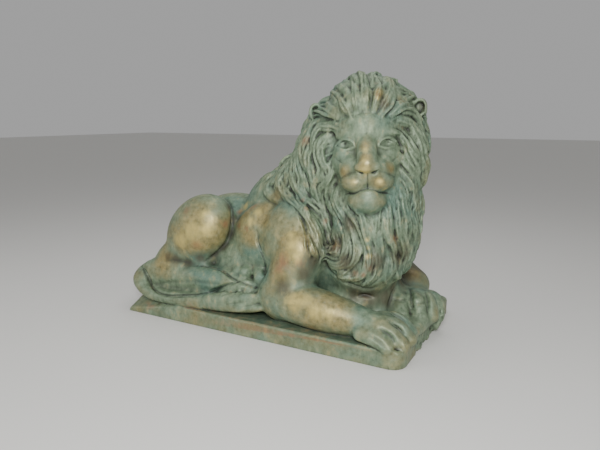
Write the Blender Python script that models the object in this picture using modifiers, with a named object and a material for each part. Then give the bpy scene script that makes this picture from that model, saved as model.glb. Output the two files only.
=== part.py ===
import math

import bmesh
import bpy
import numpy as np
from mathutils import Euler, Matrix, Quaternion, Vector
from mathutils.bvhtree import BVHTree

# Driving dimensions, in metres
PLINTH_LENGTH = 1.836
PLINTH_WIDTH = 1.00
PLINTH_THICKNESS = 0.095
PLINTH_FRONT_CORNER_RADIUS = 0.08
PLINTH_EDGE_ROUND = 0.012
# The rear right corner is worn down to a feather edge over these lengths
WORN_CORNER_ALONG = 0.42
WORN_CORNER_ACROSS = 0.17
WORN_CORNER_LEFT = 0.02
FIGURE_LENGTH = 2.00
TRIANGLES = 9300

# The figure is carved at half its real length as the unit: every place, radius and grain size
# below is a share of that, from the middle of the plinth's top, X towards the forepaws, Y to
# the lion's left, Z up
HALF_LENGTH = FIGURE_LENGTH / 2
FLESH_GRAIN = 0.014
FLESH_SMOOTHING = 12
CARVING_GRAIN = 0.0095
FACE_SMOOTHING = 3
CARVING_SMOOTHING = 2

# The head looks over the lion's right shoulder, and the face sits a little to that side of it
HEAD_CENTRE = (0.565, -0.115, 0.985)
HEAD_YAW = -68.0
HEAD_PITCH = 2.0
HEAD_ROLL = 2.5
FACE_ASIDE = 0.012

# Masses of the body: centre, radii, turn in degrees about X, Y, Z
BODY = {
    "ribs": ((0.03, 0.02, 0.36), (0.50, 0.29, 0.33), (0, 0, 0)),
    "loins": ((-0.40, 0.02, 0.34), (0.38, 0.25, 0.31), (0, 0, 0)),
    "rump": ((-0.58, 0.02, 0.30), (0.27, 0.24, 0.30), (0, 0, 0)),
    "withers": ((-0.03, 0.01, 0.57), (0.28, 0.20, 0.25), (0, -20, 0)),
    "chest": ((0.36, 0.00, 0.36), (0.30, 0.28, 0.38), (0, 0, 0)),
    "brisket": ((0.52, -0.04, 0.12), (0.25, 0.25, 0.20), (0, 0, 0)),
    "belly": ((-0.20, 0.00, 0.07), (0.66, 0.36, 0.15), (0, 0, 0)),
    "between the paws": ((0.72, -0.12, 0.01), (0.16, 0.18, 0.10), (0, 0, 0)),
    "near thigh": ((-0.505, -0.25, 0.430), (0.275, 0.180, 0.208), (0, -46, 0)),
    "near hock": ((-0.68, -0.31, 0.25), (0.17, 0.10, 0.11), (0, -38, 0)),
    "lower flank": ((-0.19, -0.18, 0.23), (0.28, 0.145, 0.19), (0, 0, 0)),
    "near flank": ((-0.04, -0.19, 0.38), (0.24, 0.135, 0.26), (0, 0, 0)),
    "near heel": ((-0.83, -0.37, 0.13), (0.075, 0.065, 0.10), (0, 0, 0)),
    "far thigh": ((-0.42, 0.25, 0.24), (0.28, 0.17, 0.24), (0, 12, 0)),
    "far knee": ((-0.22, 0.33, 0.14), (0.17, 0.12, 0.15), (0, 0, 0)),
    "far croup": ((-0.44, 0.15, 0.38), (0.32, 0.18, 0.24), (0, 0, 0)),
    "far flank": ((-0.14, 0.20, 0.28), (0.30, 0.14, 0.26), (0, 0, 0)),
    "near shoulder": ((0.17, -0.23, 0.42), (0.22, 0.16, 0.27), (0, 15, 0)),
    "near elbow": ((0.15, -0.36, 0.14), (0.14, 0.12, 0.15), (0, 0, 0)),
    "far shoulder": ((0.20, 0.24, 0.42), (0.22, 0.16, 0.27), (0, 15, 0)),
    "far elbow": ((0.24, 0.36, 0.13), (0.15, 0.12, 0.15), (0, 0, 0)),
    "near paw": ((0.74, -0.375, 0.06), (0.13, 0.11, 0.085), (0, 0, -3)),
    "under the near toes": ((0.82, -0.345, 0.01), (0.09, 0.12, 0.045), (0, 0, 0)),
    "far paw": ((0.80, 0.05, 0.09), (0.12, 0.13, 0.085), (0, 0, -35)),
    "far paw edge": ((0.925, 0.085, -0.012), (0.045, 0.08, 0.072), (0, 0, 0)),
}
MANE = {
    "neck": ((0.20, 0.00, 0.66), (0.30, 0.25, 0.30), (0, 30, 0)),
    "nape": ((0.355, -0.01, 0.90), (0.265, 0.26, 0.38), (0, 16, 0)),
    "ruff": ((0.585, -0.06, 0.60), (0.26, 0.25, 0.44), (0, 0, 0)),
    "bib": ((0.56, -0.14, 0.36), (0.22, 0.20, 0.22), (0, 0, 0)),
}
# In the head's own axes: forward, to the lion's left, up, from the head's centre
HEAD = {
    "hair behind the face": ((-0.13, 0.02, 0.03), (0.20, 0.310, 0.33), (0, 0, 0)),
    "hair left of the face": ((-0.04, 0.205, -0.08), (0.14, 0.110, 0.20), (0, 0, 0)),
    "crown": ((-0.06, 0.00, 0.14), (0.19, 0.24, 0.25), (0, 0, 0)),
    "skull": ((-0.02, 0.00, 0.02), (0.19, 0.190, 0.20), (0, 0, 0)),
    "muzzle": ((0.13, 0.00, -0.13), (0.14, 0.125, 0.10), (0, 0, 0)),
    "jaw": ((0.05, 0.00, -0.18), (0.16, 0.155, 0.14), (0, 0, 0)),
}
# The face goes on the head's masses with less smoothing
FACE = {
    "forehead": ((0.050, 0.00, 0.085), (0.112, 0.165, 0.115), (0, 0, 0)),
    "middle of the lips": ((0.190, 0.00, -0.150), (0.076, 0.060, 0.055), (0, 0, 0)),
    "lower lip": ((0.165, 0.00, -0.238), (0.080, 0.088, 0.036), (0, 0, 0)),
    "chin": ((0.168, 0.00, -0.278), (0.095, 0.100, 0.068), (0, 0, 0)),
}
FACE_PAIRS = {
    "brow": ((0.092, 0.078, 0.078), (0.058, 0.080, 0.044), (-10, 0, 0)),
    "cheekbone": ((0.040, 0.128, -0.060), (0.100, 0.060, 0.120), (0, 0, 0)),
    "pouch": ((0.096, 0.118, -0.040), (0.055, 0.055, 0.044), (0, 0, 0)),
    "side of the muzzle": ((0.125, 0.090, -0.120), (0.090, 0.072, 0.090), (0, 0, 0)),
    "lip": ((0.180, 0.060, -0.172), (0.088, 0.080, 0.060), (0, 0, 0)),
}
NOSE_BRIDGE = [(0.09, 0, 0.060, 0.048), (0.150, 0, 0.015, 0.052), (0.210, 0, -0.034, 0.056),
               (0.260, 0, -0.066, 0.056)]
# Limbs: points along the middle, each with its radius
LIMBS = {
    "near shank": [(-0.46, -0.30, 0.27, 0.08), (-0.60, -0.315, 0.235, 0.100), (-0.81, -0.36, 0.15, 0.075)],
    "near hind foot": [(-0.80, -0.365, 0.13, 0.065), (-0.45, -0.360, 0.165, 0.078),
                       (-0.15, -0.350, 0.145, 0.075), (0.02, -0.345, 0.11, 0.065)],
    "under the hind foot": [(-0.84, -0.34, 0.07, 0.06), (-0.45, -0.34, 0.07, 0.08), (-0.15, -0.34, 0.07, 0.08)],
    "far hind foot": [(-0.30, 0.10, 0.10, 0.09), (-0.10, -0.24, 0.17, 0.06)],
    "near forearm": [(0.15, -0.37, 0.13, 0.12), (0.42, -0.395, 0.110, 0.115), (0.66, -0.385, 0.08, 0.085)],
    "far forearm": [(0.24, 0.37, 0.16, 0.13), (0.54, 0.32, 0.19, 0.125), (0.76, 0.20, 0.14, 0.10)],
    "near upper arm": [(0.24, -0.27, 0.40, 0.16), (0.18, -0.35, 0.16, 0.14)],
    "far upper arm": [(0.24, 0.27, 0.40, 0.16), (0.24, 0.35, 0.16, 0.14)],
    "tail": [(-0.76, 0.02, 0.30, 0.065), (-0.88, -0.06, 0.21, 0.050), (-0.945, -0.20, 0.15, 0.043),
             (-0.950, -0.32, 0.125, 0.042), (-0.90, -0.42, 0.09, 0.042), (-0.78, -0.452, 0.035, 0.042),
             (-0.60, -0.460, 0.030, 0.043), (-0.35, -0.460, 0.045, 0.048)],
    "front of the base": [(0.900, 0.060, 0.030, 0.050), (0.895, -0.100, 0.025, 0.052),
                          (0.880, -0.240, 0.015, 0.045), (0.870, -0.330, -0.010, 0.035)],
}
# Toes, each from the back of the foot over the knuckle to the tip
TOES = [
    [(0.72, -0.285, 0.075, 0.045), (0.81, -0.275, 0.080, 0.047), (0.885, -0.270, 0.030, 0.040)],
    [(0.73, -0.350, 0.080, 0.045), (0.83, -0.350, 0.075, 0.048), (0.905, -0.345, 0.020, 0.040)],
    [(0.72, -0.415, 0.070, 0.045), (0.82, -0.420, 0.060, 0.047), (0.890, -0.420, 0.010, 0.040)],
    [(0.68, -0.465, 0.050, 0.040), (0.77, -0.475, 0.040, 0.042), (0.835, -0.475, 0.000, 0.035)],
    [(0.74, -0.020, 0.125, 0.045), (0.77, -0.100, 0.120, 0.047), (0.800, -0.165, 0.070, 0.043)],
    [(0.80, 0.000, 0.130, 0.045), (0.85, -0.060, 0.125, 0.048), (0.895, -0.120, 0.055, 0.042)],
    [(0.84, 0.060, 0.120, 0.045), (0.90, 0.020, 0.110, 0.047), (0.935, -0.030, 0.045, 0.042)],
    [(0.85, 0.130, 0.100, 0.045), (0.91, 0.110, 0.090, 0.050), (0.945, 0.080, 0.020, 0.042)],
    [(-0.20, -0.27, 0.240, 0.045), (-0.165, -0.330, 0.230, 0.038)],
    [(-0.12, -0.26, 0.245, 0.045), (-0.105, -0.345, 0.232, 0.039)],
    [(-0.05, -0.27, 0.250, 0.045), (0.000, -0.340, 0.215, 0.043)],
]
TUFT = [
    [(-0.36, -0.450, 0.050, 0.050), (-0.20, -0.455, 0.100, 0.050), (0.00, -0.450, 0.125, 0.040),
     (0.12, -0.440, 0.165, 0.012)],
    [(-0.36, -0.450, 0.040, 0.045), (-0.18, -0.465, 0.060, 0.045), (0.00, -0.455, 0.080, 0.035),
     (0.12, -0.440, 0.090, 0.012)],
    [(-0.30, -0.430, 0.030, 0.045), (-0.10, -0.430, 0.110, 0.045), (0.06, -0.420, 0.150, 0.030)],
]
# Grooves cut into the skin: points on or near it, half width, depth
GROOVES = {
    "front of the thigh": ([(-0.34, -0.27, 0.67), (-0.27, -0.28, 0.60), (-0.235, -0.30, 0.54),
                            (-0.24, -0.32, 0.42), (-0.30, -0.34, 0.33), (-0.41, -0.38, 0.27)],
                           0.020, 0.030),
    "top of the hind foot": ([(-0.44, -0.44, 0.255), (-0.31, -0.44, 0.275), (-0.235, -0.42, 0.27),
                              (-0.165, -0.41, 0.245), (-0.11, -0.40, 0.20)], 0.016, 0.022),
    "hind foot and tail": ([(-0.77, -0.45, 0.14), (-0.70, -0.46, 0.08), (-0.54, -0.47, 0.055),
                            (-0.38, -0.46, 0.09), (-0.27, -0.45, 0.115), (-0.18, -0.44, 0.165)],
                           0.016, 0.022),
    "behind the shoulder": ([(-0.02, -0.30, 0.54), (0.0, -0.31, 0.43), (0.025, -0.33, 0.33),
                             (0.04, -0.35, 0.24), (0.05, -0.36, 0.16)], 0.020, 0.030),
}
HEAD_GROOVES = {
    "philtrum": ([(0.30, 0.0, -0.125), (0.30, 0.0, -0.205)], 0.012, 0.014),
    "furrow": ([(0.18, 0.0, 0.14), (0.19, 0.0, 0.05)], 0.014, 0.008),
}
HEAD_GROOVE_PAIRS = {
    "mouth": ([(0.30, 0.0, -0.208), (0.27, 0.05, -0.228), (0.22, 0.10, -0.236), (0.16, 0.134, -0.250)],
              0.014, 0.022),
    "eye": ([(0.16, 0.072, 0.008), (0.15, 0.112, 0.026), (0.10, 0.158, 0.010)], 0.016, 0.016),
    "side of the nose": ([(0.20, 0.062, 0.040), (0.22, 0.068, -0.020), (0.24, 0.076, -0.070)], 0.018, 0.012),
    "nostril": ([(0.30, 0.030, -0.119), (0.29, 0.058, -0.104)], 0.012, 0.014),
}
UPPER_LID = [(0.145, 0.066, 0.008, 0.009), (0.148, 0.108, 0.044, 0.012), (0.110, 0.164, 0.012, 0.010)]
# The lion's left eyeball in the face's axes and its left ear in the head's: centre, radii, turn
EYEBALL = ((0.112, 0.114, 0.018), (0.038, 0.044, 0.028), (0, 0, 0))
EAR = ((-0.065, 0.283, 0.200), (0.032, 0.052, 0.058), (20, 0, 0))

# Locks of the mane
LOCK_SPACING = 0.078
LOCK_LENGTH = 0.35
LOCK_LENGTH_VARIES = 0.2
LOCK_RADIUS = 0.032
LOCK_STEPS = 12
LOCK_SHORTEST = 4
LOCK_WAVE = 27.0
LOCK_WAVELENGTH = 0.30
# Lower edge of the mane over the shoulders and chest: how high it is at each length
MANE_EDGE = [(-0.24, 0.72), (0.13, 0.68), (0.23, 0.60), (0.30, 0.49), (0.34, 0.38), (0.39, 0.29),
             (0.51, 0.22)]
FACE_MIDDLE = -0.115
FACE_HALF_WIDTH = 0.20
FACE_HALF_HEIGHT = 0.265


def clear_scene():
    for obj in list(bpy.data.objects):
        bpy.data.objects.remove(obj)


def head_matrix():
    turn = Euler((math.radians(HEAD_ROLL), math.radians(-HEAD_PITCH), math.radians(HEAD_YAW)))
    return Matrix.Translation(HEAD_CENTRE) @ turn.to_matrix().to_4x4()


def face_matrix():
    return head_matrix() @ Matrix.Translation((0, -FACE_ASIDE, 0))


def mirrored(points):
    return [(p[0], -p[1], *p[2:]) for p in points]


def unit_ball():
    bm = bmesh.new()
    bmesh.ops.create_uvsphere(bm, u_segments=32, v_segments=20, radius=1)
    ball = bpy.data.meshes.new("ball")
    bm.to_mesh(ball)
    bm.free()
    return ball


def add_mass(bm, ball, frame, centre, radii, turn=(0, 0, 0)):
    rotation = Euler([math.radians(a) for a in turn]).to_matrix().to_4x4()
    mass = ball.copy()
    mass.transform(frame @ Matrix.Translation(centre) @ rotation @ Matrix.Diagonal((*radii, 1)))
    bm.from_mesh(mass)
    bpy.data.meshes.remove(mass)


def add_pair(bm, ball, frame, mass):
    """Adds a mass of the lion's left side and its twin on the right."""
    centre, radii, (about_forward, about_side, about_up) = mass
    add_mass(bm, ball, frame, centre, radii, (about_forward, about_side, about_up))
    add_mass(bm, ball, frame, mirrored([centre])[0], radii, (-about_forward, about_side, -about_up))


def smooth_path(points, per_span=6):
    """A smooth run through the given points, whatever each one holds (Catmull-Rom)."""
    p = np.array(points, float)
    p = np.vstack([2 * p[0] - p[1], p, 2 * p[-1] - p[-2]])
    out = []
    for i in range(1, len(p) - 2):
        for t in np.linspace(0, 1, per_span, endpoint=False):
            a, b, c, d = p[i - 1 : i + 3]
            out.append(0.5 * (2 * b + (c - a) * t + (2 * a - 5 * b + 4 * c - d) * t**2
                              + (3 * b - a - 3 * c + d) * t**3))
    out.append(p[-2])
    return np.array(out)


def add_tubes(bm, paths, sides):
    """Adds a tapering tube for each path of (x, y, z, radius)."""
    curve = bpy.data.curves.new("tubes", "CURVE")
    curve.dimensions = "3D"
    curve.bevel_depth = 1.0
    curve.bevel_resolution = sides
    curve.use_fill_caps = True
    for path in paths:
        spline = curve.splines.new("POLY")
        spline.points.add(len(path) - 1)
        for point, (x, y, z, radius) in zip(spline.points, path):
            point.co = (x, y, z, 1)
            point.radius = radius
    tubes = evaluated_mesh(bpy.data.objects.new("tubes", curve))
    bm.from_mesh(tubes)
    bpy.data.meshes.remove(tubes)


def add_limb(bm, ball, path, frame=Matrix()):
    run = smooth_path(path)
    for point in run:
        point[:3] = frame @ Vector(point[:3])
    add_tubes(bm, [run], 6)
    for x, y, z, radius in (run[0], run[-1]):
        add_mass(bm, ball, Matrix(), (x, y, z), (radius, radius, radius))


def evaluated_mesh(obj):
    """The object's mesh with its modifiers applied; the object goes."""
    bpy.context.scene.collection.objects.link(obj)
    graph = bpy.context.evaluated_depsgraph_get()
    mesh = bpy.data.meshes.new_from_object(obj.evaluated_get(graph))
    bpy.data.objects.remove(obj)
    return mesh


def one_skin(bm, grain, smoothing):
    mesh = bpy.data.meshes.new("skin")
    bm.to_mesh(mesh)
    bm.free()
    obj = bpy.data.objects.new("skin", mesh)
    remesh = obj.modifiers.new("one skin", "REMESH")
    remesh.mode = "VOXEL"
    remesh.voxel_size = grain
    relax = obj.modifiers.new("soften joins", "SMOOTH")
    relax.iterations = round(smoothing)
    relax.factor = 0.5
    return evaluated_mesh(obj)


def model_masses():
    bm = bmesh.new()
    ball = unit_ball()
    head = head_matrix()
    for centre, radii, turn in [*BODY.values(), *MANE.values()]:
        add_mass(bm, ball, Matrix(), centre, radii, turn)
    for centre, radii, turn in HEAD.values():
        add_mass(bm, ball, head, centre, radii, turn)
    for path in LIMBS.values():
        add_limb(bm, ball, path)
    return one_skin(bm, FLESH_GRAIN, FLESH_SMOOTHING)


def add_face_and_toes(flesh):
    bm = bmesh.new()
    bm.from_mesh(flesh)
    ball = unit_ball()
    face = face_matrix()
    for centre, radii, turn in FACE.values():
        add_mass(bm, ball, face, centre, radii, turn)
    for mass in FACE_PAIRS.values():
        add_pair(bm, ball, face, mass)
    add_limb(bm, ball, NOSE_BRIDGE, face)
    for path in [*TOES, *TUFT]:
        add_limb(bm, ball, path)
    return one_skin(bm, CARVING_GRAIN, FACE_SMOOTHING)


def coordinates(mesh):
    points = np.empty(len(mesh.vertices) * 3)
    mesh.vertices.foreach_get("co", points)
    normals = np.empty(len(mesh.vertices) * 3)
    mesh.vertex_normals.foreach_get("vector", normals)
    return points.reshape(-1, 3), normals.reshape(-1, 3)


def distance_to_path(points, path):
    """Shortest distance of each point to a run of straight stretches."""
    nearest = np.full(len(points), np.inf)
    for a, b in zip(path[:-1], path[1:]):
        run = b - a
        along = np.clip((points - a) @ run / (run @ run), 0, 1)
        nearest = np.minimum(nearest, np.linalg.norm(points - a - along[:, None] * run, axis=1))
    return nearest


def surface_of(mesh):
    bm = bmesh.new()
    bm.from_mesh(mesh)
    tree = BVHTree.FromBMesh(bm)
    bm.free()
    return tree


def cut_grooves(mesh):
    face = face_matrix()
    grooves = list(GROOVES.values())
    for path, width, depth in HEAD_GROOVES.values():
        grooves.append(([face @ Vector(p) for p in path], width, depth))
    for path, width, depth in HEAD_GROOVE_PAIRS.values():
        for side in (path, mirrored(path)):
            grooves.append(([face @ Vector(p) for p in side], width, depth))
    surface = surface_of(mesh)
    points, normals = coordinates(mesh)
    inward = np.zeros(len(points))
    for path, width, depth in grooves:
        on_skin = np.array([surface.find_nearest(Vector(p))[0] for p in smooth_path(path, 4)])
        inward += depth * np.exp(-((distance_to_path(points, on_skin) / width) ** 2))
    mesh.vertices.foreach_set("co", (points - normals * inward[:, None]).ravel())
    mesh.update()


def ramp(value, low, high):
    t = min(max((value - low) / (high - low), 0), 1)
    return t * t * (3 - 2 * t)


def in_mane(point):
    lengths, heights = zip(*MANE_EDGE)
    return point.x > lengths[0] and point.z > np.interp(point.x, lengths, heights)


def on_face(point, to_head):
    f, l, u = to_head @ point
    return f > 0 and (l / FACE_HALF_WIDTH) ** 2 + ((u - FACE_MIDDLE) / FACE_HALF_HEIGHT) ** 2 < 1


def hair_direction(point, normal, to_head, from_head):
    """Hair fans out from the face, then hangs; behind the head it runs back down the neck."""
    f, l, u = to_head @ point
    spread = math.hypot(l, u)
    fan = (1 - ramp(spread, 0.24, 0.46)) * ramp(f, -0.28, -0.05)
    away = from_head.to_3x3() @ Vector((-0.4 * spread, l, u))
    behind = 1 - ramp(point.x, 0.12, 0.42)
    hang = Vector((-0.9 * behind, 0, -0.8))
    pull = away.normalized() * fan + hang * (1 - fan)
    return (pull - normal * pull.dot(normal)).normalized()


def trace_lock(start, surface, to_head, from_head, length, radius):
    """Follows the hair over the skin to the mane's edge and lifts the tip of the lock."""
    run = []
    point, normal = surface.find_nearest(start)[:2]
    phase = 7 * start.x - 5 * start.y + 4 * start.z
    step = length / LOCK_STEPS
    for i in range(LOCK_STEPS + 1):
        if not in_mane(point):
            break
        run.append((point, normal))
        wave = math.radians(LOCK_WAVE) * math.sin(2 * math.pi * i * step / LOCK_WAVELENGTH + phase)
        direction = hair_direction(point, normal, to_head, from_head)
        direction.rotate(Quaternion(normal, wave))
        point, normal = surface.find_nearest(point + direction * step)[:2]
    path = []
    for i, (point, normal) in enumerate(run):
        s = i / (len(run) - 1) if len(run) > 1 else 0
        thick = radius * (0.55 + 0.45 * math.sin(math.pi * min(1, 1.3 * s))) * (1 - 0.8 * s**3)
        path.append((*(point + normal * thick * (0.9 * s - 0.1)), thick))
    return path


def mane_locks(mesh, surface):
    random = np.random.default_rng(7)
    from_head = head_matrix()
    to_head = from_head.inverted()
    points, _ = coordinates(mesh)
    roots = []
    locks = []
    for index in random.permutation(len(points)):
        root = Vector(points[index])
        if not in_mane(root) or on_face(root, to_head):
            continue
        if any((root - other).length < LOCK_SPACING for other in roots):
            continue
        roots.append(root)
        length = LOCK_LENGTH * random.uniform(1 - LOCK_LENGTH_VARIES, 1 + LOCK_LENGTH_VARIES)
        radius = LOCK_RADIUS * random.uniform(0.8, 1.15)
        lock = trace_lock(root, surface, to_head, from_head, length, radius)
        if len(lock) > LOCK_SHORTEST:
            locks.append(lock)
    return locks


def carve_details(skin):
    """Ears, eyes and hair go on the grooved skin, and all become one."""
    bm = bmesh.new()
    bm.from_mesh(skin)
    ball = unit_ball()
    for frame, mass in ((face_matrix(), EYEBALL), (head_matrix(), EAR)):
        add_pair(bm, ball, frame, mass)
    for lid in (UPPER_LID, mirrored(UPPER_LID)):
        add_limb(bm, ball, lid, face_matrix())
    locks = mane_locks(skin, surface_of(skin))
    print("locks", len(locks))
    add_tubes(bm, locks, 2)
    return one_skin(bm, CARVING_GRAIN, CARVING_SMOOTHING)


def make_figure():
    skin = add_face_and_toes(model_masses())
    cut_grooves(skin)
    figure = bpy.data.objects.new("figure", carve_details(skin))
    figure.data.transform(Matrix.Translation((0, 0, PLINTH_THICKNESS)) @ Matrix.Scale(HALF_LENGTH, 4))
    return figure


def make_plinth():
    bm = bmesh.new()
    size = Matrix.Diagonal((PLINTH_LENGTH, PLINTH_WIDTH, PLINTH_THICKNESS, 1))
    place = Matrix.Translation((0, 0, PLINTH_THICKNESS / 2))
    bmesh.ops.create_cube(bm, size=1, matrix=place @ size)
    front = [e for e in bm.edges if abs(e.verts[0].co.z - e.verts[1].co.z) > PLINTH_THICKNESS / 2
             and e.verts[0].co.x > 0]
    bmesh.ops.bevel(bm, geom=front, offset=PLINTH_FRONT_CORNER_RADIUS, segments=5, profile=0.5,
                    affect="EDGES")
    half_length, half_width = PLINTH_LENGTH / 2, PLINTH_WIDTH / 2
    tip = Vector((-half_length, -half_width, WORN_CORNER_LEFT))
    along = Vector((-half_length + WORN_CORNER_ALONG, -half_width, PLINTH_THICKNESS))
    across = Vector((-half_length, -half_width + WORN_CORNER_ACROSS, PLINTH_THICKNESS))
    facing = (along - tip).cross(across - tip).normalized()
    worn = bmesh.ops.bisect_plane(bm, geom=[*bm.verts, *bm.edges, *bm.faces], plane_co=tip,
                                  plane_no=facing, clear_outer=True)
    rim = [e for e in worn["geom_cut"] if isinstance(e, bmesh.types.BMEdge)]
    bmesh.ops.edgenet_fill(bm, edges=rim)
    top_rim = [e for e in bm.edges if len(e.link_faces) == 2 and min(v.co.z for v in e.verts) > 0.001
               and e.calc_face_angle() > 0.9]
    bmesh.ops.bevel(bm, geom=top_rim, offset=PLINTH_EDGE_ROUND, segments=2, profile=0.5, affect="EDGES")
    bmesh.ops.recalc_face_normals(bm, faces=bm.faces)
    mesh = bpy.data.meshes.new("plinth")
    bm.to_mesh(mesh)
    bm.free()
    return bpy.data.objects.new("plinth", mesh)


def bronze():
    """Cast bronze under a green and brown patina."""
    material = bpy.data.materials.new("patinated bronze")
    material.use_nodes = True
    shader = material.node_tree.nodes["Principled BSDF"]
    shader.inputs["Base Color"].default_value = (0.19, 0.24, 0.17, 1)
    shader.inputs["Metallic"].default_value = 0.6
    shader.inputs["Roughness"].default_value = 0.5
    return material


def main():
    clear_scene()
    lion = make_figure()
    lion.name = "lion_statue"
    plinth = make_plinth()
    for name, obj in (("lion statue", lion), ("cutters", plinth)):
        collection = bpy.data.collections.new(name)
        bpy.context.scene.collection.children.link(collection)
        collection.objects.link(obj)
    plinth.hide_render = True
    plinth.display_type = "WIRE"
    facets = lion.modifiers.new("facets", "DECIMATE")
    bpy.context.view_layer.update()
    lion.data.calc_loop_triangles()
    facets.ratio = TRIANGLES / len(lion.data.loop_triangles)
    base = lion.modifiers.new("cast in one with its base", "BOOLEAN")
    base.operation = "UNION"
    base.object = plinth
    lion.data.materials.append(bronze())


main()
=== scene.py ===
import math

import bmesh
import bpy
import numpy as np
from mathutils import Euler, Matrix, Quaternion, Vector, noise
from mathutils.bvhtree import BVHTree
from mathutils.kdtree import KDTree


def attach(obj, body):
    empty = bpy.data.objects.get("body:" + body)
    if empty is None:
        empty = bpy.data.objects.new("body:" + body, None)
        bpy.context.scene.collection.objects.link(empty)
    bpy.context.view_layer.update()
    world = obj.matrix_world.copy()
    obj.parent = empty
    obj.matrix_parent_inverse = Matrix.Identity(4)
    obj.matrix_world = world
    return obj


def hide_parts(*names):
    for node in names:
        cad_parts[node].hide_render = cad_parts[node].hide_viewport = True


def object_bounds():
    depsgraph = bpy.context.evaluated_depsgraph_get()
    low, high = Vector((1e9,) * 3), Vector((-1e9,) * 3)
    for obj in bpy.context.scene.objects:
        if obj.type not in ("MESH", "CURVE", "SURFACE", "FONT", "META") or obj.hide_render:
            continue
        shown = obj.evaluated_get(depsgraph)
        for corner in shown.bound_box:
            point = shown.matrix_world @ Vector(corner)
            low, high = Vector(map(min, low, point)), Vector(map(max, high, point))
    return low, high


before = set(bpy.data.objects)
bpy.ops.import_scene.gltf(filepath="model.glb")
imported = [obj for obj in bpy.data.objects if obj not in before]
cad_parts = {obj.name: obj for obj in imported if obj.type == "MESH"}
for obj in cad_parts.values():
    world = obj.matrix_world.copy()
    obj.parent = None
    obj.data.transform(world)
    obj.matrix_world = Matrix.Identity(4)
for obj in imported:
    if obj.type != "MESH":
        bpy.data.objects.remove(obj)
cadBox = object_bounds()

# The photograph's frame and where it was taken from
view = {
    "width": 600,
    "height": 450,
    "focalPixels": 530.0,
    "place": (1.621, -2.866, 1.238),
    "azimuth": 28.29,
    "elevation": 11.52,
    "sensor": 36.0,
}
viewTurn = Euler((math.radians(90 - view["elevation"]), 0, math.radians(view["azimuth"])))

camera = bpy.data.cameras.new("camera")
camera.sensor_width = view["sensor"]
camera.lens = view["sensor"] * view["focalPixels"] / view["width"]
cameraObject = bpy.data.objects.new("camera", camera)
cameraObject.location = view["place"]
cameraObject.rotation_euler = viewTurn
bpy.context.scene.collection.objects.link(cameraObject)
bpy.context.scene.camera = cameraObject

# Cast base of the figure, in metres, with its worn rear corner on the near side. An edge that turns by
# sharpFrom or more, in radians, is rounded. The figure's places below are measured from the base's top
base = {
    "length": 1.836,
    "width": 1.00,
    "thickness": 0.095,
    "frontCornerRadius": 0.08,
    "edgeRound": 0.010,
    "wornAlong": 0.42,
    "wornAcross": 0.17,
    "wornLeft": 0.02,
    "cornerSteps": 6,
    "edgeSteps": 2,
    "sharpFrom": 0.9,
    "aboveTheUnderside": 0.001,
}

# The head looks out to the lion's right, and its face sits a little off the middle of the hair
head = {
    "centre": (0.565, -0.115, 0.985),
    "yaw": -68.0,
    "pitch": 2.0,
    "roll": 2.5,
    "faceOff": (0, -0.012, 0),
}
headTurn = Euler([math.radians(a) for a in (head["roll"], -head["pitch"], head["yaw"])])
fromHead = Matrix.Translation(head["centre"]) @ headTurn.to_matrix().to_4x4()
toHead = fromHead.inverted()
fromFace = fromHead @ Matrix.Translation(head["faceOff"])
toFace = fromFace.inverted()

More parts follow.
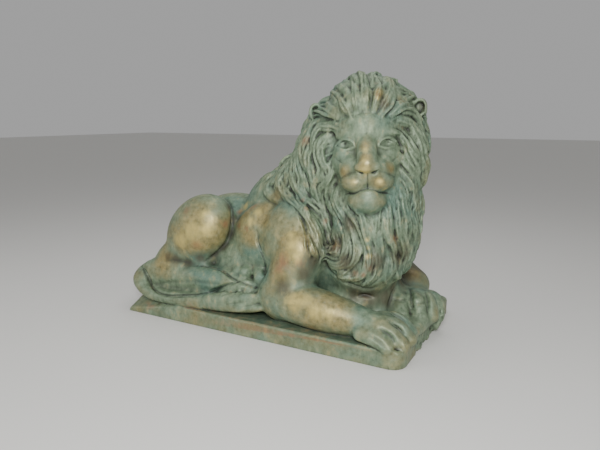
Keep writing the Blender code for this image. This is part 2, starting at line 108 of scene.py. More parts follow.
# Masses of the body: centre, radii, turn in degrees
bodyMasses = {
    "ribs": ((0.03, 0.02, 0.36), (0.50, 0.29, 0.33), (0, 0, 0)),
    "loins": ((-0.40, 0.02, 0.34), (0.38, 0.25, 0.31), (0, 0, 0)),
    "rump": ((-0.58, 0.02, 0.30), (0.27, 0.24, 0.30), (0, 0, 0)),
    "withers": ((-0.03, 0.01, 0.57), (0.28, 0.20, 0.25), (0, -20, 0)),
    "chest": ((0.36, 0.00, 0.36), (0.30, 0.28, 0.38), (0, 0, 0)),
    "brisket": ((0.52, -0.04, 0.12), (0.25, 0.25, 0.20), (0, 0, 0)),
    "belly": ((-0.20, 0.00, 0.07), (0.66, 0.36, 0.15), (0, 0, 0)),
    "betweenThePaws": ((0.72, -0.12, 0.01), (0.16, 0.18, 0.10), (0, 0, 0)),
    "nearThigh": ((-0.505, -0.25, 0.430), (0.275, 0.180, 0.208), (0, -46, 0)),
    "nearHock": ((-0.68, -0.31, 0.25), (0.17, 0.10, 0.11), (0, -38, 0)),
    "lowerFlank": ((-0.19, -0.18, 0.23), (0.28, 0.145, 0.19), (0, 0, 0)),
    "nearHeel": ((-0.83, -0.37, 0.13), (0.075, 0.065, 0.10), (0, 0, 0)),
    "farThigh": ((-0.42, 0.25, 0.24), (0.28, 0.17, 0.24), (0, 12, 0)),
    "farKnee": ((-0.22, 0.33, 0.14), (0.17, 0.12, 0.15), (0, 0, 0)),
    "farCroup": ((-0.44, 0.15, 0.38), (0.32, 0.18, 0.24), (0, 0, 0)),
    "farFlank": ((-0.14, 0.20, 0.28), (0.30, 0.14, 0.26), (0, 0, 0)),
    "nearShoulder": ((0.17, -0.23, 0.42), (0.22, 0.16, 0.27), (0, 15, 0)),
    "nearFlank": ((-0.04, -0.19, 0.38), (0.24, 0.135, 0.26), (0, 0, 0)),
    "nearElbow": ((0.15, -0.36, 0.14), (0.14, 0.12, 0.15), (0, 0, 0)),
    "farShoulder": ((0.20, 0.24, 0.42), (0.22, 0.16, 0.27), (0, 15, 0)),
    "farElbow": ((0.24, 0.36, 0.13), (0.15, 0.12, 0.15), (0, 0, 0)),
    "nearPaw": ((0.74, -0.375, 0.06), (0.13, 0.11, 0.085), (0, 0, -3)),
    "underTheNearToes": ((0.82, -0.345, 0.01), (0.09, 0.12, 0.045), (0, 0, 0)),
    "farPaw": ((0.80, 0.05, 0.09), (0.12, 0.13, 0.085), (0, 0, -35)),
    "farPawEdge": ((0.925, 0.085, -0.012), (0.045, 0.08, 0.072), (0, 0, 0)),
    "neck": ((0.20, 0.00, 0.66), (0.30, 0.25, 0.30), (0, 30, 0)),
    "nape": ((0.355, -0.01, 0.90), (0.265, 0.26, 0.38), (0, 16, 0)),
    "ruff": ((0.585, -0.06, 0.60), (0.26, 0.25, 0.44), (0, 0, 0)),
    "bib": ((0.56, -0.14, 0.36), (0.22, 0.20, 0.22), (0, 0, 0)),
}

# Masses of the head, in its own axes: forward, to the lion's left, up
headMasses = {
    "hairBehindTheFace": ((-0.13, 0.02, 0.03), (0.20, 0.310, 0.33), (0, 0, 0)),
    "hairLeftOfTheFace": ((-0.04, 0.205, -0.08), (0.14, 0.110, 0.20), (0, 0, 0)),
    "crown": ((-0.06, 0.00, 0.14), (0.19, 0.24, 0.25), (0, 0, 0)),
    "skull": ((-0.02, 0.00, 0.02), (0.19, 0.190, 0.20), (0, 0, 0)),
    "muzzle": ((0.13, 0.00, -0.13), (0.14, 0.125, 0.10), (0, 0, 0)),
    "jaw": ((0.05, 0.00, -0.18), (0.16, 0.155, 0.14), (0, 0, 0)),
}
faceMasses = {
    "forehead": ((0.055, 0.00, 0.090), (0.105, 0.168, 0.120), (0, 0, 0)),
    "noseLeather": ((0.262, 0.00, -0.098), (0.030, 0.052, 0.026), (0, 20, 0)),
    "middleOfTheLips": ((0.186, 0.00, -0.155), (0.076, 0.060, 0.050), (0, 0, 0)),
    "lowerLip": ((0.160, 0.00, -0.232), (0.088, 0.084, 0.040), (0, 0, 0)),
    "chin": ((0.160, 0.00, -0.276), (0.096, 0.106, 0.070), (0, 0, 0)),
}
facePairs = {
    "brow": ((0.086, 0.082, 0.074), (0.058, 0.082, 0.044), (-8, 0, 0)),
    "cheekbone": ((0.040, 0.128, -0.060), (0.100, 0.060, 0.120), (0, 0, 0)),
    "pouch": ((0.096, 0.118, -0.040), (0.052, 0.052, 0.040), (0, 0, 0)),
    "sideOfTheMuzzle": ((0.118, 0.084, -0.120), (0.088, 0.066, 0.090), (0, 0, 0)),
    "lip": ((0.170, 0.060, -0.178), (0.082, 0.078, 0.052), (0, 0, 0)),
    "nostrilWing": ((0.256, 0.044, -0.098), (0.028, 0.024, 0.024), (0, 0, 0)),
}
noseBridge = [(0.09, 0, 0.060, 0.046), (0.150, 0, 0.012, 0.050), (0.205, 0, -0.042, 0.053),
              (0.245, 0, -0.082, 0.050)]

# Limbs and tail: points along the middle, each with its radius
limbs = {
    "nearShank": [(-0.46, -0.30, 0.27, 0.08), (-0.60, -0.315, 0.235, 0.100), (-0.81, -0.36, 0.15, 0.075)],
    "nearHindFoot": [(-0.80, -0.365, 0.13, 0.065), (-0.45, -0.360, 0.165, 0.078),
                     (-0.15, -0.350, 0.145, 0.075), (0.02, -0.345, 0.11, 0.065)],
    "underTheHindFoot": [(-0.84, -0.34, 0.07, 0.06), (-0.45, -0.34, 0.07, 0.08), (-0.15, -0.34, 0.07, 0.08)],
    "farHindFoot": [(-0.30, 0.10, 0.10, 0.09), (-0.10, -0.24, 0.17, 0.06)],
    "nearForearm": [(0.15, -0.37, 0.13, 0.12), (0.42, -0.395, 0.110, 0.115), (0.66, -0.385, 0.08, 0.085)],
    "farForearm": [(0.24, 0.37, 0.16, 0.13), (0.54, 0.32, 0.19, 0.125), (0.76, 0.20, 0.14, 0.10)],
    "nearUpperArm": [(0.24, -0.27, 0.40, 0.16), (0.18, -0.35, 0.16, 0.14)],
    "farUpperArm": [(0.24, 0.27, 0.40, 0.16), (0.24, 0.35, 0.16, 0.14)],
    "frontOfTheBase": [(0.900, 0.060, 0.030, 0.050), (0.895, -0.100, 0.025, 0.052),
                       (0.880, -0.240, 0.015, 0.045), (0.870, -0.330, -0.010, 0.035)],
    "tail": [(-0.76, 0.02, 0.30, 0.065), (-0.88, -0.06, 0.21, 0.050), (-0.945, -0.20, 0.15, 0.043),
             (-0.950, -0.32, 0.125, 0.042), (-0.90, -0.42, 0.09, 0.042), (-0.78, -0.452, 0.035, 0.042),
             (-0.60, -0.460, 0.030, 0.043), (-0.35, -0.460, 0.045, 0.048)],
}
# Toes, each from the back of the foot over the knuckle to the tip
toes = [
    [(0.72, -0.285, 0.075, 0.045), (0.81, -0.275, 0.080, 0.047), (0.885, -0.270, 0.030, 0.040)],
    [(0.73, -0.350, 0.080, 0.045), (0.83, -0.350, 0.075, 0.048), (0.905, -0.345, 0.020, 0.040)],
    [(0.72, -0.415, 0.070, 0.045), (0.82, -0.420, 0.060, 0.047), (0.890, -0.420, 0.010, 0.040)],
    [(0.68, -0.465, 0.050, 0.040), (0.77, -0.475, 0.040, 0.042), (0.835, -0.475, 0.000, 0.035)],
    [(0.74, -0.020, 0.125, 0.045), (0.77, -0.100, 0.120, 0.047), (0.800, -0.165, 0.070, 0.043)],
    [(0.80, 0.000, 0.130, 0.045), (0.85, -0.060, 0.125, 0.048), (0.895, -0.120, 0.055, 0.042)],
    [(0.84, 0.060, 0.120, 0.045), (0.90, 0.020, 0.110, 0.047), (0.935, -0.030, 0.045, 0.042)],
    [(0.85, 0.130, 0.100, 0.045), (0.91, 0.110, 0.090, 0.050), (0.945, 0.080, 0.020, 0.042)],
]
farHindToes = [
    [(-0.20, -0.27, 0.240, 0.045), (-0.165, -0.330, 0.230, 0.036)],
    [(-0.12, -0.26, 0.245, 0.045), (-0.105, -0.345, 0.232, 0.037)],
    [(-0.05, -0.27, 0.250, 0.045), (0.000, -0.340, 0.215, 0.042)],
]
tuft = [
    [(-0.36, -0.450, 0.050, 0.045), (-0.20, -0.450, 0.085, 0.040), (0.00, -0.440, 0.115, 0.030),
     (0.12, -0.430, 0.155, 0.010)],
    [(-0.36, -0.450, 0.040, 0.040), (-0.18, -0.460, 0.050, 0.035), (0.00, -0.450, 0.065, 0.028),
     (0.12, -0.435, 0.080, 0.010)],
]

# Grain of the skin over the masses, in metres, and the passes that soften its joins
skin = {
    "grain": 0.014,
    "smoothing": 12,
    "faceGrain": 0.0065,
    "faceSmoothing": 5,
    "lockGrain": 0.0060,
    "lockSmoothing": 1,
    "fineGrain": 0.0043,
    "fineSmoothing": 1,
    "relax": 0.5,
    "limbRoundness": 6,
}


def smoothPath(points, perSpan=6):
    # A curve through every point, which bends evenly
    p = np.array(points, float)
    p = np.vstack([2 * p[0] - p[1], p, 2 * p[-1] - p[-2]])
    out = []
    for i in range(1, len(p) - 2):
        for t in np.linspace(0, 1, perSpan, endpoint=False):
            a, b, c, d = p[i - 1 : i + 3]
            out.append(0.5 * (2 * b + (c - a) * t + (2 * a - 5 * b + 4 * c - d) * t**2
                              + (3 * b - a - 3 * c + d) * t**3))
    out.append(p[-2])
    return np.array(out)


def mirrored(centre):
    return (centre[0], -centre[1], centre[2])


def unitBall():
    bm = bmesh.new()
    bmesh.ops.create_uvsphere(bm, u_segments=32, v_segments=20, radius=1)
    ball = bpy.data.meshes.new("ball")
    bm.to_mesh(ball)
    bm.free()
    return ball


ball = unitBall()


def addMass(bm, place, centre, radii, turn=(0, 0, 0)):
    rotation = Euler([math.radians(a) for a in turn]).to_matrix().to_4x4()
    mass = ball.copy()
    mass.transform(place @ Matrix.Translation(centre) @ rotation @ Matrix.Diagonal((*radii, 1)))
    bm.from_mesh(mass)
    bpy.data.meshes.remove(mass)


def finishedMesh(obj):
    # The mesh that the object's modifiers make, as a plain one
    bpy.context.scene.collection.objects.link(obj)
    graph = bpy.context.evaluated_depsgraph_get()
    mesh = bpy.data.meshes.new_from_object(obj.evaluated_get(graph))
    bpy.data.objects.remove(obj)
    return mesh


def addTube(bm, path):
    curve = bpy.data.curves.new("tube", "CURVE")
    curve.dimensions = "3D"
    curve.bevel_depth = 1.0
    curve.bevel_resolution = skin["limbRoundness"]
    curve.use_fill_caps = True
    spline = curve.splines.new("POLY")
    spline.points.add(len(path) - 1)
    for point, (x, y, z, radius) in zip(spline.points, path):
        point.co = (x, y, z, 1)
        point.radius = radius
    tube = finishedMesh(bpy.data.objects.new("tube", curve))
    bm.from_mesh(tube)
    bpy.data.meshes.remove(tube)


def addLimb(bm, path, place=Matrix()):
    run = smoothPath(path)
    for point in run:
        point[:3] = place @ Vector(point[:3])
    addTube(bm, run)
    for x, y, z, radius in (run[0], run[-1]):
        addMass(bm, Matrix(), (x, y, z), (radius, radius, radius))


def oneSkin(bm, grain, smoothing, subdivide=0):
    # The outer skin of all that overlaps in bm, as one closed mesh
    mesh = bpy.data.meshes.new("skin")
    bm.to_mesh(mesh)
    bm.free()
    obj = bpy.data.objects.new("skin", mesh)
    remesh = obj.modifiers.new("one skin", "REMESH")
    remesh.mode = "VOXEL"
    remesh.voxel_size = grain
    relax = obj.modifiers.new("soften joins", "SMOOTH")
    relax.iterations = smoothing
    relax.factor = skin["relax"]
    if subdivide:
        finer = obj.modifiers.new("finer", "SUBSURF")
        finer.levels = subdivide
        finer.render_levels = subdivide
    return finishedMesh(obj)


def coordinates(mesh):
    points = np.empty(len(mesh.vertices) * 3)
    mesh.vertices.foreach_get("co", points)
    normals = np.empty(len(mesh.vertices) * 3)
    mesh.vertex_normals.foreach_get("vector", normals)
    return points.reshape(-1, 3), normals.reshape(-1, 3)


def moveTo(mesh, points):
    mesh.vertices.foreach_set("co", points.ravel())
    mesh.update()


def surfaceOf(mesh):
    bm = bmesh.new()
    bm.from_mesh(mesh)
    tree = BVHTree.FromBMesh(bm)
    bm.free()
    return tree


def strokeShare(points, path, halfWidth):
    # 1 along the middle of the stroke, falling off to its sides and its two ends
    share = np.zeros(len(points))
    spans = len(path) - 1
    for i, (a, b) in enumerate(zip(path[:-1], path[1:])):
        taper = math.sqrt(math.sin(math.pi * (i + 0.5) / spans))
        run = b - a
        along = np.clip((points - a) @ run / max(run @ run, noLength), 0, 1)
        gap = np.linalg.norm(points - a - along[:, None] * run, axis=1)
        share = np.maximum(share, taper * np.exp(-((gap / (halfWidth * taper)) ** 2)))
    return share


def nearPath(points, path, reach):
    low = path.min(0) - reach
    high = path.max(0) + reach
    return np.flatnonzero(np.all((points > low) & (points < high), axis=1))


def modelMasses():
    bm = bmesh.new()
    for centre, radii, turn in bodyMasses.values():
        addMass(bm, Matrix(), centre, radii, turn)
    for centre, radii, turn in headMasses.values():
        addMass(bm, fromHead, centre, radii, turn)
    for path in limbs.values():
        addLimb(bm, path)
    return oneSkin(bm, skin["grain"], skin["smoothing"], subdivide=1)


def addFace(flesh):
    bm = bmesh.new()
    bm.from_mesh(flesh)
    for centre, radii, turn in faceMasses.values():
        addMass(bm, fromFace, centre, radii, turn)
    for centre, radii, (aboutForward, aboutSide, aboutUp) in facePairs.values():
        addMass(bm, fromFace, centre, radii, (aboutForward, aboutSide, aboutUp))
        addMass(bm, fromFace, mirrored(centre), radii, (-aboutForward, aboutSide, -aboutUp))
    addLimb(bm, noseBridge, fromFace)
    for path in toes + farHindToes + tuft:
        addLimb(bm, path)
    return oneSkin(bm, skin["faceGrain"], skin["faceSmoothing"])


# Strokes of the modelling tool on the near side, in the photograph's pixels, cast on to the
# form from where the photograph was taken: points, half width and depth in metres
seenStrokes = {
    "frontOfTheThigh": ([(219, 195), (227, 200), (232, 208), (233, 219), (232, 231), (227, 243),
                         (216, 254), (204, 262)], 0.014, 0.026),
    "underTheThigh": ([(164, 262), (174, 260), (186, 262), (198, 265)], 0.020, 0.016),
    "topOfTheHindFoot": ([(190, 266), (206, 266), (222, 270), (231, 277), (240, 282), (252, 286),
                          (266, 290)], 0.009, 0.024),
    "alongTheHindFoot": ([(158, 283), (174, 282), (192, 281), (208, 283), (220, 284)], 0.012, 0.008),
    "hindFootAndTail": ([(141, 262), (144, 270), (149, 280), (156, 290), (166, 295), (182, 295), (200, 294),
                         (214, 291), (224, 286), (236, 282), (246, 284)], 0.011, 0.032),
    "heelAndTail": ([(139, 259), (142, 266), (146, 275), (150, 283)], 0.014, 0.024),
    "behindTheShoulder": ([(256, 227), (258, 236), (257, 242), (261, 252), (265, 263), (264, 270),
                           (267, 286)], 0.008, 0.028),
    "ringOfTheFarToe": ([(244, 269.5), (247.5, 273), (244, 276.5), (240.5, 273), (244, 269.5)],
                        0.004, 0.008),
    "firstRib": ([(240, 202), (238, 214), (239, 230)], 0.012, 0.002),
    "secondRib": ([(246, 202), (244, 216), (246, 232)], 0.012, 0.002),
    "thirdRib": ([(253, 204), (251, 214), (252, 226)], 0.012, 0.002),
    "slitUnderTheChest": ([(357, 296), (365, 295.5), (374, 297)], 0.010, 0.024),
    "nearPawFirstGap": ([(387, 310), (394, 314), (401, 318), (407, 323)], 0.009, 0.024),
    "nearPawSecondGap": ([(388, 320), (395, 325), (401, 330), (405, 337)], 0.009, 0.024),
    "nearPawThirdGap": ([(379, 328), (386, 333), (392, 338), (395, 345)], 0.009, 0.022),
    "nearPawFourthGap": ([(366, 333), (374, 338), (382, 344), (386, 350)], 0.009, 0.014),
    "farPawFirstKnuckle": ([(393, 299), (401, 300.5), (409, 299)], 0.009, 0.016),
    "farPawSecondKnuckle": ([(413, 302), (420, 304), (427, 301)], 0.009, 0.014),
    "farPawFirstGap": ([(409, 285), (411, 294), (411, 304), (415, 314)], 0.010, 0.026),
    "farPawSecondGap": ([(424, 289), (427, 299), (428, 311)], 0.010, 0.018),
    "besideTheFarPaw": ([(397, 284), (393, 293), (390, 302), (387, 309)], 0.010, 0.020),
    "besideTheShoulder": ([(264, 233), (266, 244), (268, 252)], 0.005, 0.008),
    "underTheNeckHair": ([(291, 205), (299, 212), (305, 226), (309, 238)], 0.009, 0.014),
    "chestRim": ([(325, 262), (331, 272), (343, 281), (358, 287), (372, 289), (380, 284)], 0.010, 0.014),
}
strokeReach = 3.0  # half widths from its middle line, where a stroke has faded out
strokeSteps = 3  # casts for each drawn span of a stroke
faceSteps = 4  # and of a stroke on the face
noLength = 1e-12  # least square of a span's length, since two casts can fall together


def castFromView(surface, u, v):
    # Where a pixel of the photograph falls on the form, seen from where it was taken
    place = Vector(view["place"]) - Vector((0, 0, base["thickness"]))
    across = (u - view["width"] / 2) / view["focalPixels"]
    down = (v - view["height"] / 2) / view["focalPixels"]
    ray = viewTurn.to_matrix() @ Vector((across, -down, -1))
    return surface.ray_cast(place, ray.normalized())


def castPath(surface, pixels):
    hits = [castFromView(surface, u, v)[0] for u, v in smoothPath(pixels, strokeSteps)]
    return np.array([h for h in hits if h is not None])


def strokesOnSkin(surface, finer=1.0):
    return [(castPath(surface, pixels), halfWidth * finer, depth * finer)
            for pixels, halfWidth, depth in seenStrokes.values()]


# Strokes on the face as seen from in front of it: to the lion's left and up from the head's
# centre, then half width and depth
faceStrokes = {
    "philtrum": ([(0.0, -0.130), (0.0, -0.172), (0.0, -0.208)], 0.006, 0.007),
    "furrow": ([(0.004, 0.15), (0.0, 0.07)], 0.009, 0.004),
}
faceStrokePairs = {
    "mouth": ([(-0.012, -0.204), (0.030, -0.216), (0.066, -0.232), (0.100, -0.240), (0.130, -0.252)],
              0.0055, 0.0045),
    "nostril": ([(0.020, -0.128), (0.040, -0.126), (0.058, -0.112)], 0.007, 0.014),
    "aboveTheLip": ([(0.062, -0.122), (0.098, -0.130), (0.140, -0.158)], 0.011, 0.005),
    "underThePouch": ([(0.082, -0.062), (0.125, -0.078), (0.172, -0.050)], 0.008, 0.004),
    "eyeSocket": ([(0.085, 0.022), (0.145, 0.020)], 0.026, 0.006),
    "besideTheNose": ([(0.062, 0.040), (0.066, -0.020), (0.074, -0.070)], 0.014, 0.006),
    "lidLine": ([(0.068, 0.004), (0.080, 0.024), (0.108, 0.034), (0.138, 0.028), (0.162, 0.006)],
                0.0045, 0.006),
}
eyes = {
    "place": (0.114, 0.020),
    "ball": (0.034, 0.046, 0.026),
    "sunk": 0.024,
    "irisReach": 0.009,
    "irisDepth": 0.009,
    "irisLength": 0.0001,
    "lidProud": 0.004,
}
# Lids: to the lion's left and up as the strokes are, then the radius
upperLid = [(0.062, 0.004, 0.003), (0.078, 0.029, 0.007), (0.108, 0.042, 0.0085), (0.140, 0.034, 0.007),
            (0.166, 0.008, 0.003)]
lowerLid = [(0.066, 0.003, 0.003), (0.092, -0.007, 0.005), (0.122, -0.008, 0.005), (0.158, 0.003, 0.003)]
ear = {
    "centre": (-0.065, 0.278, 0.196),
    "back": (0.014, 0.036, 0.044),
    "behind": 0.018,
    "turn": 20,
    "rim": (0.034, 0.044),
    "rimRadius": 0.0085,
    "rimPoints": 9,
    "openFrom": -50,
    "openTo": 230,
}
beforeTheFace = 1.0  # metres ahead of the head's centre, where casts on the face start


def castOnFace(surface, left, up):
    start = fromFace @ Vector((beforeTheFace, left, up))
    return surface.ray_cast(start, fromFace.to_3x3() @ Vector((-1, 0, 0)))[0]


def carve(mesh, strokes):
    points, normals = coordinates(mesh)
    inward = np.zeros(len(points))
    for path, halfWidth, depth in strokes:
        near = nearPath(points, path, strokeReach * halfWidth)
        inward[near] += depth * strokeShare(points[near], path, halfWidth)
    moveTo(mesh, points - normals * inward[:, None])


# Painted shade along the strokes: its width by theirs, the depth that is fully dark, and how much narrower
# the strokes are when they are cast once more on the finished form
creases = {"width": 1.1, "deep": 0.014, "again": 0.6}


def creaseAt(points, strokes):
    # Painted shade along each stroke, fully dark where it is carved deep
    dark = np.zeros(len(points))
    for path, halfWidth, depth in strokes:
        near = nearPath(points, path, strokeReach * halfWidth)
        share = strokeShare(points[near], path, creases["width"] * halfWidth)
        dark[near] = np.maximum(dark[near], share * min(1, depth / creases["deep"]))
    return dark


# Where the casting is coarse and pitted: a path in the photograph's pixels, the reach and the height
coarse = {
    "frontOfTheBase": ([(444, 320), (434, 328), (424, 340), (414, 350)], 0.075, 0.012),
    "outerToe": ([(436, 288), (442, 298), (444, 310), (440, 322)], 0.050, 0.012),
    "nearToes": ([(402, 334), (406, 344), (396, 352), (384, 350)], 0.035, 0.008),
    "tuftEnd": ([(230, 296), (250, 290), (266, 294)], 0.040, 0.006),
    "farToes": ([(400, 306), (418, 312), (428, 318)], 0.040, 0.006),
}
# Its lumps in metres, and how much finer and lower the ones on them are
lump = {"size": 0.036, "finer": 2.3, "finerShare": 0.6}


def roughen(mesh, surface):
    points, normals = coordinates(mesh)
    raised = np.zeros(len(points))
    for pixels, reach, height in coarse.values():
        path = castPath(surface, pixels)
        near = nearPath(points, path, 2 * reach)
        for i, share in zip(near, strokeShare(points[near], path, reach)):
            place = Vector(points[i]) / lump["size"]
            swelling = noise.noise(place) + lump["finerShare"] * noise.noise(lump["finer"] * place)
            raised[i] += height * share * swelling
    moveTo(mesh, points + normals * raised[:, None])


def faceStrokesOnSkin(surface, names):
    strokes = []
    for name in names:
        path, halfWidth, depth = {**faceStrokes, **faceStrokePairs}[name]
        for side in (1, -1) if name in faceStrokePairs else (1,):
            onSkin = [castOnFace(surface, side * left, up) for left, up in smoothPath(path, faceSteps)]
            strokes.append((np.array([p for p in onSkin if p is not None]), halfWidth, depth))
    return strokes


def addEyes(bm, surface):
    for side in (1, -1):
        left, up = eyes["place"]
        place = toFace @ castOnFace(surface, side * left, up)
        addMass(bm, fromFace, place - Vector((eyes["sunk"], 0, 0)), eyes["ball"])
        forward = fromFace.to_3x3() @ Vector((eyes["lidProud"], 0, 0))
        for lid in (upperLid, lowerLid):
            path = [(*(castOnFace(surface, side * left, up) + forward), radius) for left, up, radius in lid]
            addLimb(bm, path)


def addEars(bm):
    forward, left, up = ear["centre"]
    across, high = ear["rim"]
    lean = math.radians(-ear["turn"])
    for side in (1, -1):
        back = (forward - ear["behind"], side * left, up)
        addMass(bm, fromHead, back, ear["back"], (side * ear["turn"], 0, 0))
        rim = []
        for angle in np.radians(np.linspace(ear["openFrom"], ear["openTo"], ear["rimPoints"])):
            out = across * math.cos(angle)
            rise = high * math.sin(angle)
            rim.append((forward, side * (left + out * math.cos(lean) - rise * math.sin(lean)),
                        up + out * math.sin(lean) + rise * math.cos(lean), ear["rimRadius"]))
        addLimb(bm, rim, fromHead)


def irises(surface):
    left, up = eyes["place"]
    spots = []
    for side in (1, -1):
        middle = np.array(castOnFace(surface, side * left, up))
        spots.append((np.array([middle, middle + eyes["irisLength"]]), eyes["irisReach"], eyes["irisDepth"]))
    return spots


# Hair of the mane, in metres. Its edge is the lowest height at each length of the body, and it rises
# on the far side; the face's oval is measured about the head's centre
mane = {
    "edge": [(-0.24, 0.72), (0.13, 0.68), (0.23, 0.60), (0.30, 0.49), (0.34, 0.38), (0.39, 0.29),
             (0.51, 0.22)],
    "farRise": 0.8,
    "farFrom": 0.10,
    "faceMiddle": -0.100,
    "faceHalfWidth": 0.176,
    "faceHalfHeight": 0.250,
    "jawNarrowing": 0.32,
    "fadeAtTheEdge": 0.04,
    "fadeAtTheFace": (0.95, 1.15),
    "strandsOverTheFace": 0.98,
    "step": 0.022,
    "wave": 32.0,
    "wavelength": 0.30,
    "seed": 7,
}
# Each kind of lock: spacing, shortest and longest, radius and its spread, how far it is sunk at the root
# and stands off at the tip in radii, and the fewest points that make one
hairKinds = {
    "drawn": {"radius": 0.034, "sunk": 0.25, "lift": 0.7, "fewest": 4},
    "lock": {"spacing": 0.082, "length": (0.26, 0.42), "radius": 0.034, "spread": (0.7, 1.15), "sunk": 0.35,
             "lift": 0.8, "fewest": 6},
    "strand": {"spacing": 0.034, "length": (0.16, 0.30), "radius": 0.0085, "spread": (0.7, 1.25),
               "sunk": (0.1, 0.9), "lift": 0.3, "fewest": 5},
    "tuft": {"radius": 0.016, "sunk": 0.2, "lift": 0.4, "fewest": 4},
}
taper = {"root": 0.5, "belly": 1.3, "tip": 0.85}
# Locks that can be read in the photograph, in its pixels
drawnLocks = {
    "crestLeft": [(352, 116), (345, 104), (336, 94), (324, 90)],
    "crestLeftUpper": [(356, 114), (352, 98), (344, 86), (336, 80)],
    "crestMiddleLeft": [(360, 113), (358, 96), (354, 84), (350, 76)],
    "crestMiddle": [(366, 112), (366, 96), (364, 82), (362, 73)],
    "crestMiddleRight": [(374, 112), (378, 98), (380, 86), (376, 76)],
    "crestRight": [(382, 114), (388, 102), (392, 92), (390, 82)],
    "crestRightLower": [(390, 116), (398, 108), (406, 104), (412, 100)],
    "templeLeft": [(338, 118), (328, 112), (318, 112), (311, 120), (309, 134)],
    "besideEyeLeft": [(332, 124), (322, 126), (315, 136), (313, 150), (318, 164)],
    "cheekLeft": [(330, 132), (321, 142), (320, 156), (326, 168)],
    "besideCheekLeft": [(308, 132), (304, 146), (305, 160), (311, 176), (314, 192)],
    "longLeft": [(302, 140), (299, 156), (303, 174), (309, 190), (319, 204)],
    "longerLeft": [(296, 154), (292, 170), (297, 186), (306, 200), (320, 212), (326, 232)],
    "neckLeft": [(284, 166), (280, 180), (286, 194), (298, 206), (308, 222), (314, 240)],
    "neckLower": [(272, 178), (268, 190), (276, 200), (290, 206)],
    "underJawLeft": [(334, 176), (328, 190), (331, 206), (340, 222), (343, 240)],
    "jawLeft": [(338, 186), (336, 198), (344, 212), (356, 222)],
    "chestCurlOuter": [(344, 210), (350, 226), (356, 242), (356, 256), (348, 266), (336, 266), (328, 256)],
    "chestCurlMiddle": [(340, 222), (346, 236), (346, 250), (340, 258), (332, 252)],
    "chestCurlInner": [(333, 226), (337, 238), (337, 248)],
    "chestSweep": [(358, 218), (364, 234), (369, 252), (368, 270), (358, 279), (344, 277)],
    "chestMiddle": [(366, 216), (372, 232), (378, 252), (377, 272), (368, 283)],
    "chestMiddleRight": [(376, 216), (376, 236), (384, 254), (382, 272)],
    "chestRight": [(386, 214), (386, 234), (394, 252), (392, 270)],
    "chestFarRight": [(396, 210), (398, 230), (405, 248), (402, 264)],
    "jawRight": [(404, 192), (404, 208), (412, 224), (414, 242)],
    "cheekRight": [(400, 168), (408, 180), (412, 194), (408, 208)],
    "besideEyeRight": [(404, 132), (412, 148), (418, 164), (417, 182)],
    "templeRight": [(398, 118), (408, 122), (416, 136), (420, 152)],
    "earRight": [(396, 110), (408, 110), (418, 120), (424, 138)],
    "whiskerRight": [(398, 152), (408, 164), (416, 176), (414, 192)],
}
tuftLocks = [
    [(206, 296), (222, 294), (238, 288), (250, 285), (262, 288)],
    [(204, 299), (220, 299), (236, 294), (250, 291), (265, 290)],
    [(206, 302), (222, 303), (238, 300), (252, 297), (266, 293)],
    [(212, 305), (228, 307), (242, 305), (256, 302), (268, 297)],
    [(226, 291), (238, 285), (248, 281), (256, 282)],
    [(222, 308), (236, 310), (248, 309), (260, 306)],
    [(230, 297), (243, 296), (256, 294), (268, 288)],
]
# How hair lies that isn't drawn: it fans out round the face and hangs below and behind it. Ends of each
# span are metres from the head's axis, ahead of its centre or along the body
fall = {
    "fanEnds": (0.24, 0.46),
    "fanFront": (-0.28, -0.05),
    "fanBack": 0.4,
    "sweepEnds": (0.12, 0.42),
    "sweep": 0.9,
    "hang": 0.8,
    "drawnReach": 0.05,
    "drawnNear": 5,
    "longestStep": 0.08,
}


def ramp(value, low, high):
    t = min(max((value - low) / (high - low), 0), 1)
    return t * t * (3 - 2 * t)


def inMane(point):
    lengths, heights = zip(*mane["edge"])
    rise = mane["farRise"] * max(0, point.y - mane["farFrom"])
    return point.x > lengths[0] and point.z > np.interp(point.x, lengths, heights) + rise


def faceReach(left, up):
    # 1 at the face's edge, which closes in below the cheeks
    height = (up - mane["faceMiddle"]) / mane["faceHalfHeight"]
    width = mane["faceHalfWidth"] * (1 - mane["jawNarrowing"] * np.clip(-height, 0, 1))
    return (left / width) ** 2 + height**2


def onFace(point, grow):
    forward, left, up = toFace @ point
    return forward > 0 and faceReach(left, up) < grow**2


def drawnOnSkin(surface, drawings):
    runs = []
    for pixels in drawings:
        run = []
        for u, v in smoothPath(pixels):
            point, normal = castFromView(surface, u, v)[:2]
            if point is not None:
                run.append((point, normal))
        runs.append(run)
    return runs


class HairFlow:
    # Which way the hair lies on the skin: along the drawn locks near them, and as it falls elsewhere
    def __init__(self, runs):
        samples = []
        for run in runs:
            for (a, _), (b, _) in zip(run[:-1], run[1:]):
                if 0 < (b - a).length < fall["longestStep"]:
                    samples.append(((a + b) / 2, (b - a).normalized()))
        self.tangents = [t for _, t in samples]
        self.tree = KDTree(len(samples))
        for i, (place, _) in enumerate(samples):
            self.tree.insert(place, i)
        self.tree.balance()

    def direction(self, point, normal):
        forward, left, up = toHead @ point
        spread = math.hypot(left, up)
        fan = (1 - ramp(spread, *fall["fanEnds"])) * ramp(forward, *fall["fanFront"])
        away = fromHead.to_3x3() @ Vector((-fall["fanBack"] * spread, left, up))
        behind = 1 - ramp(point.x, *fall["sweepEnds"])
        hang = Vector((-fall["sweep"] * behind, 0, -fall["hang"]))
        pull = (away.normalized() * fan + hang * (1 - fan)).normalized()
        drawn = Vector()
        most = 0
        for _, i, gap in self.tree.find_n(point, fall["drawnNear"]):
            weight = math.exp(-((gap / fall["drawnReach"]) ** 2))
            drawn += self.tangents[i] * weight
            most = max(most, weight)
        if drawn.length > 0:
            pull = pull * (1 - most) + drawn.normalized() * most
        along = pull - normal * pull.dot(normal)
        return along.normalized(), most


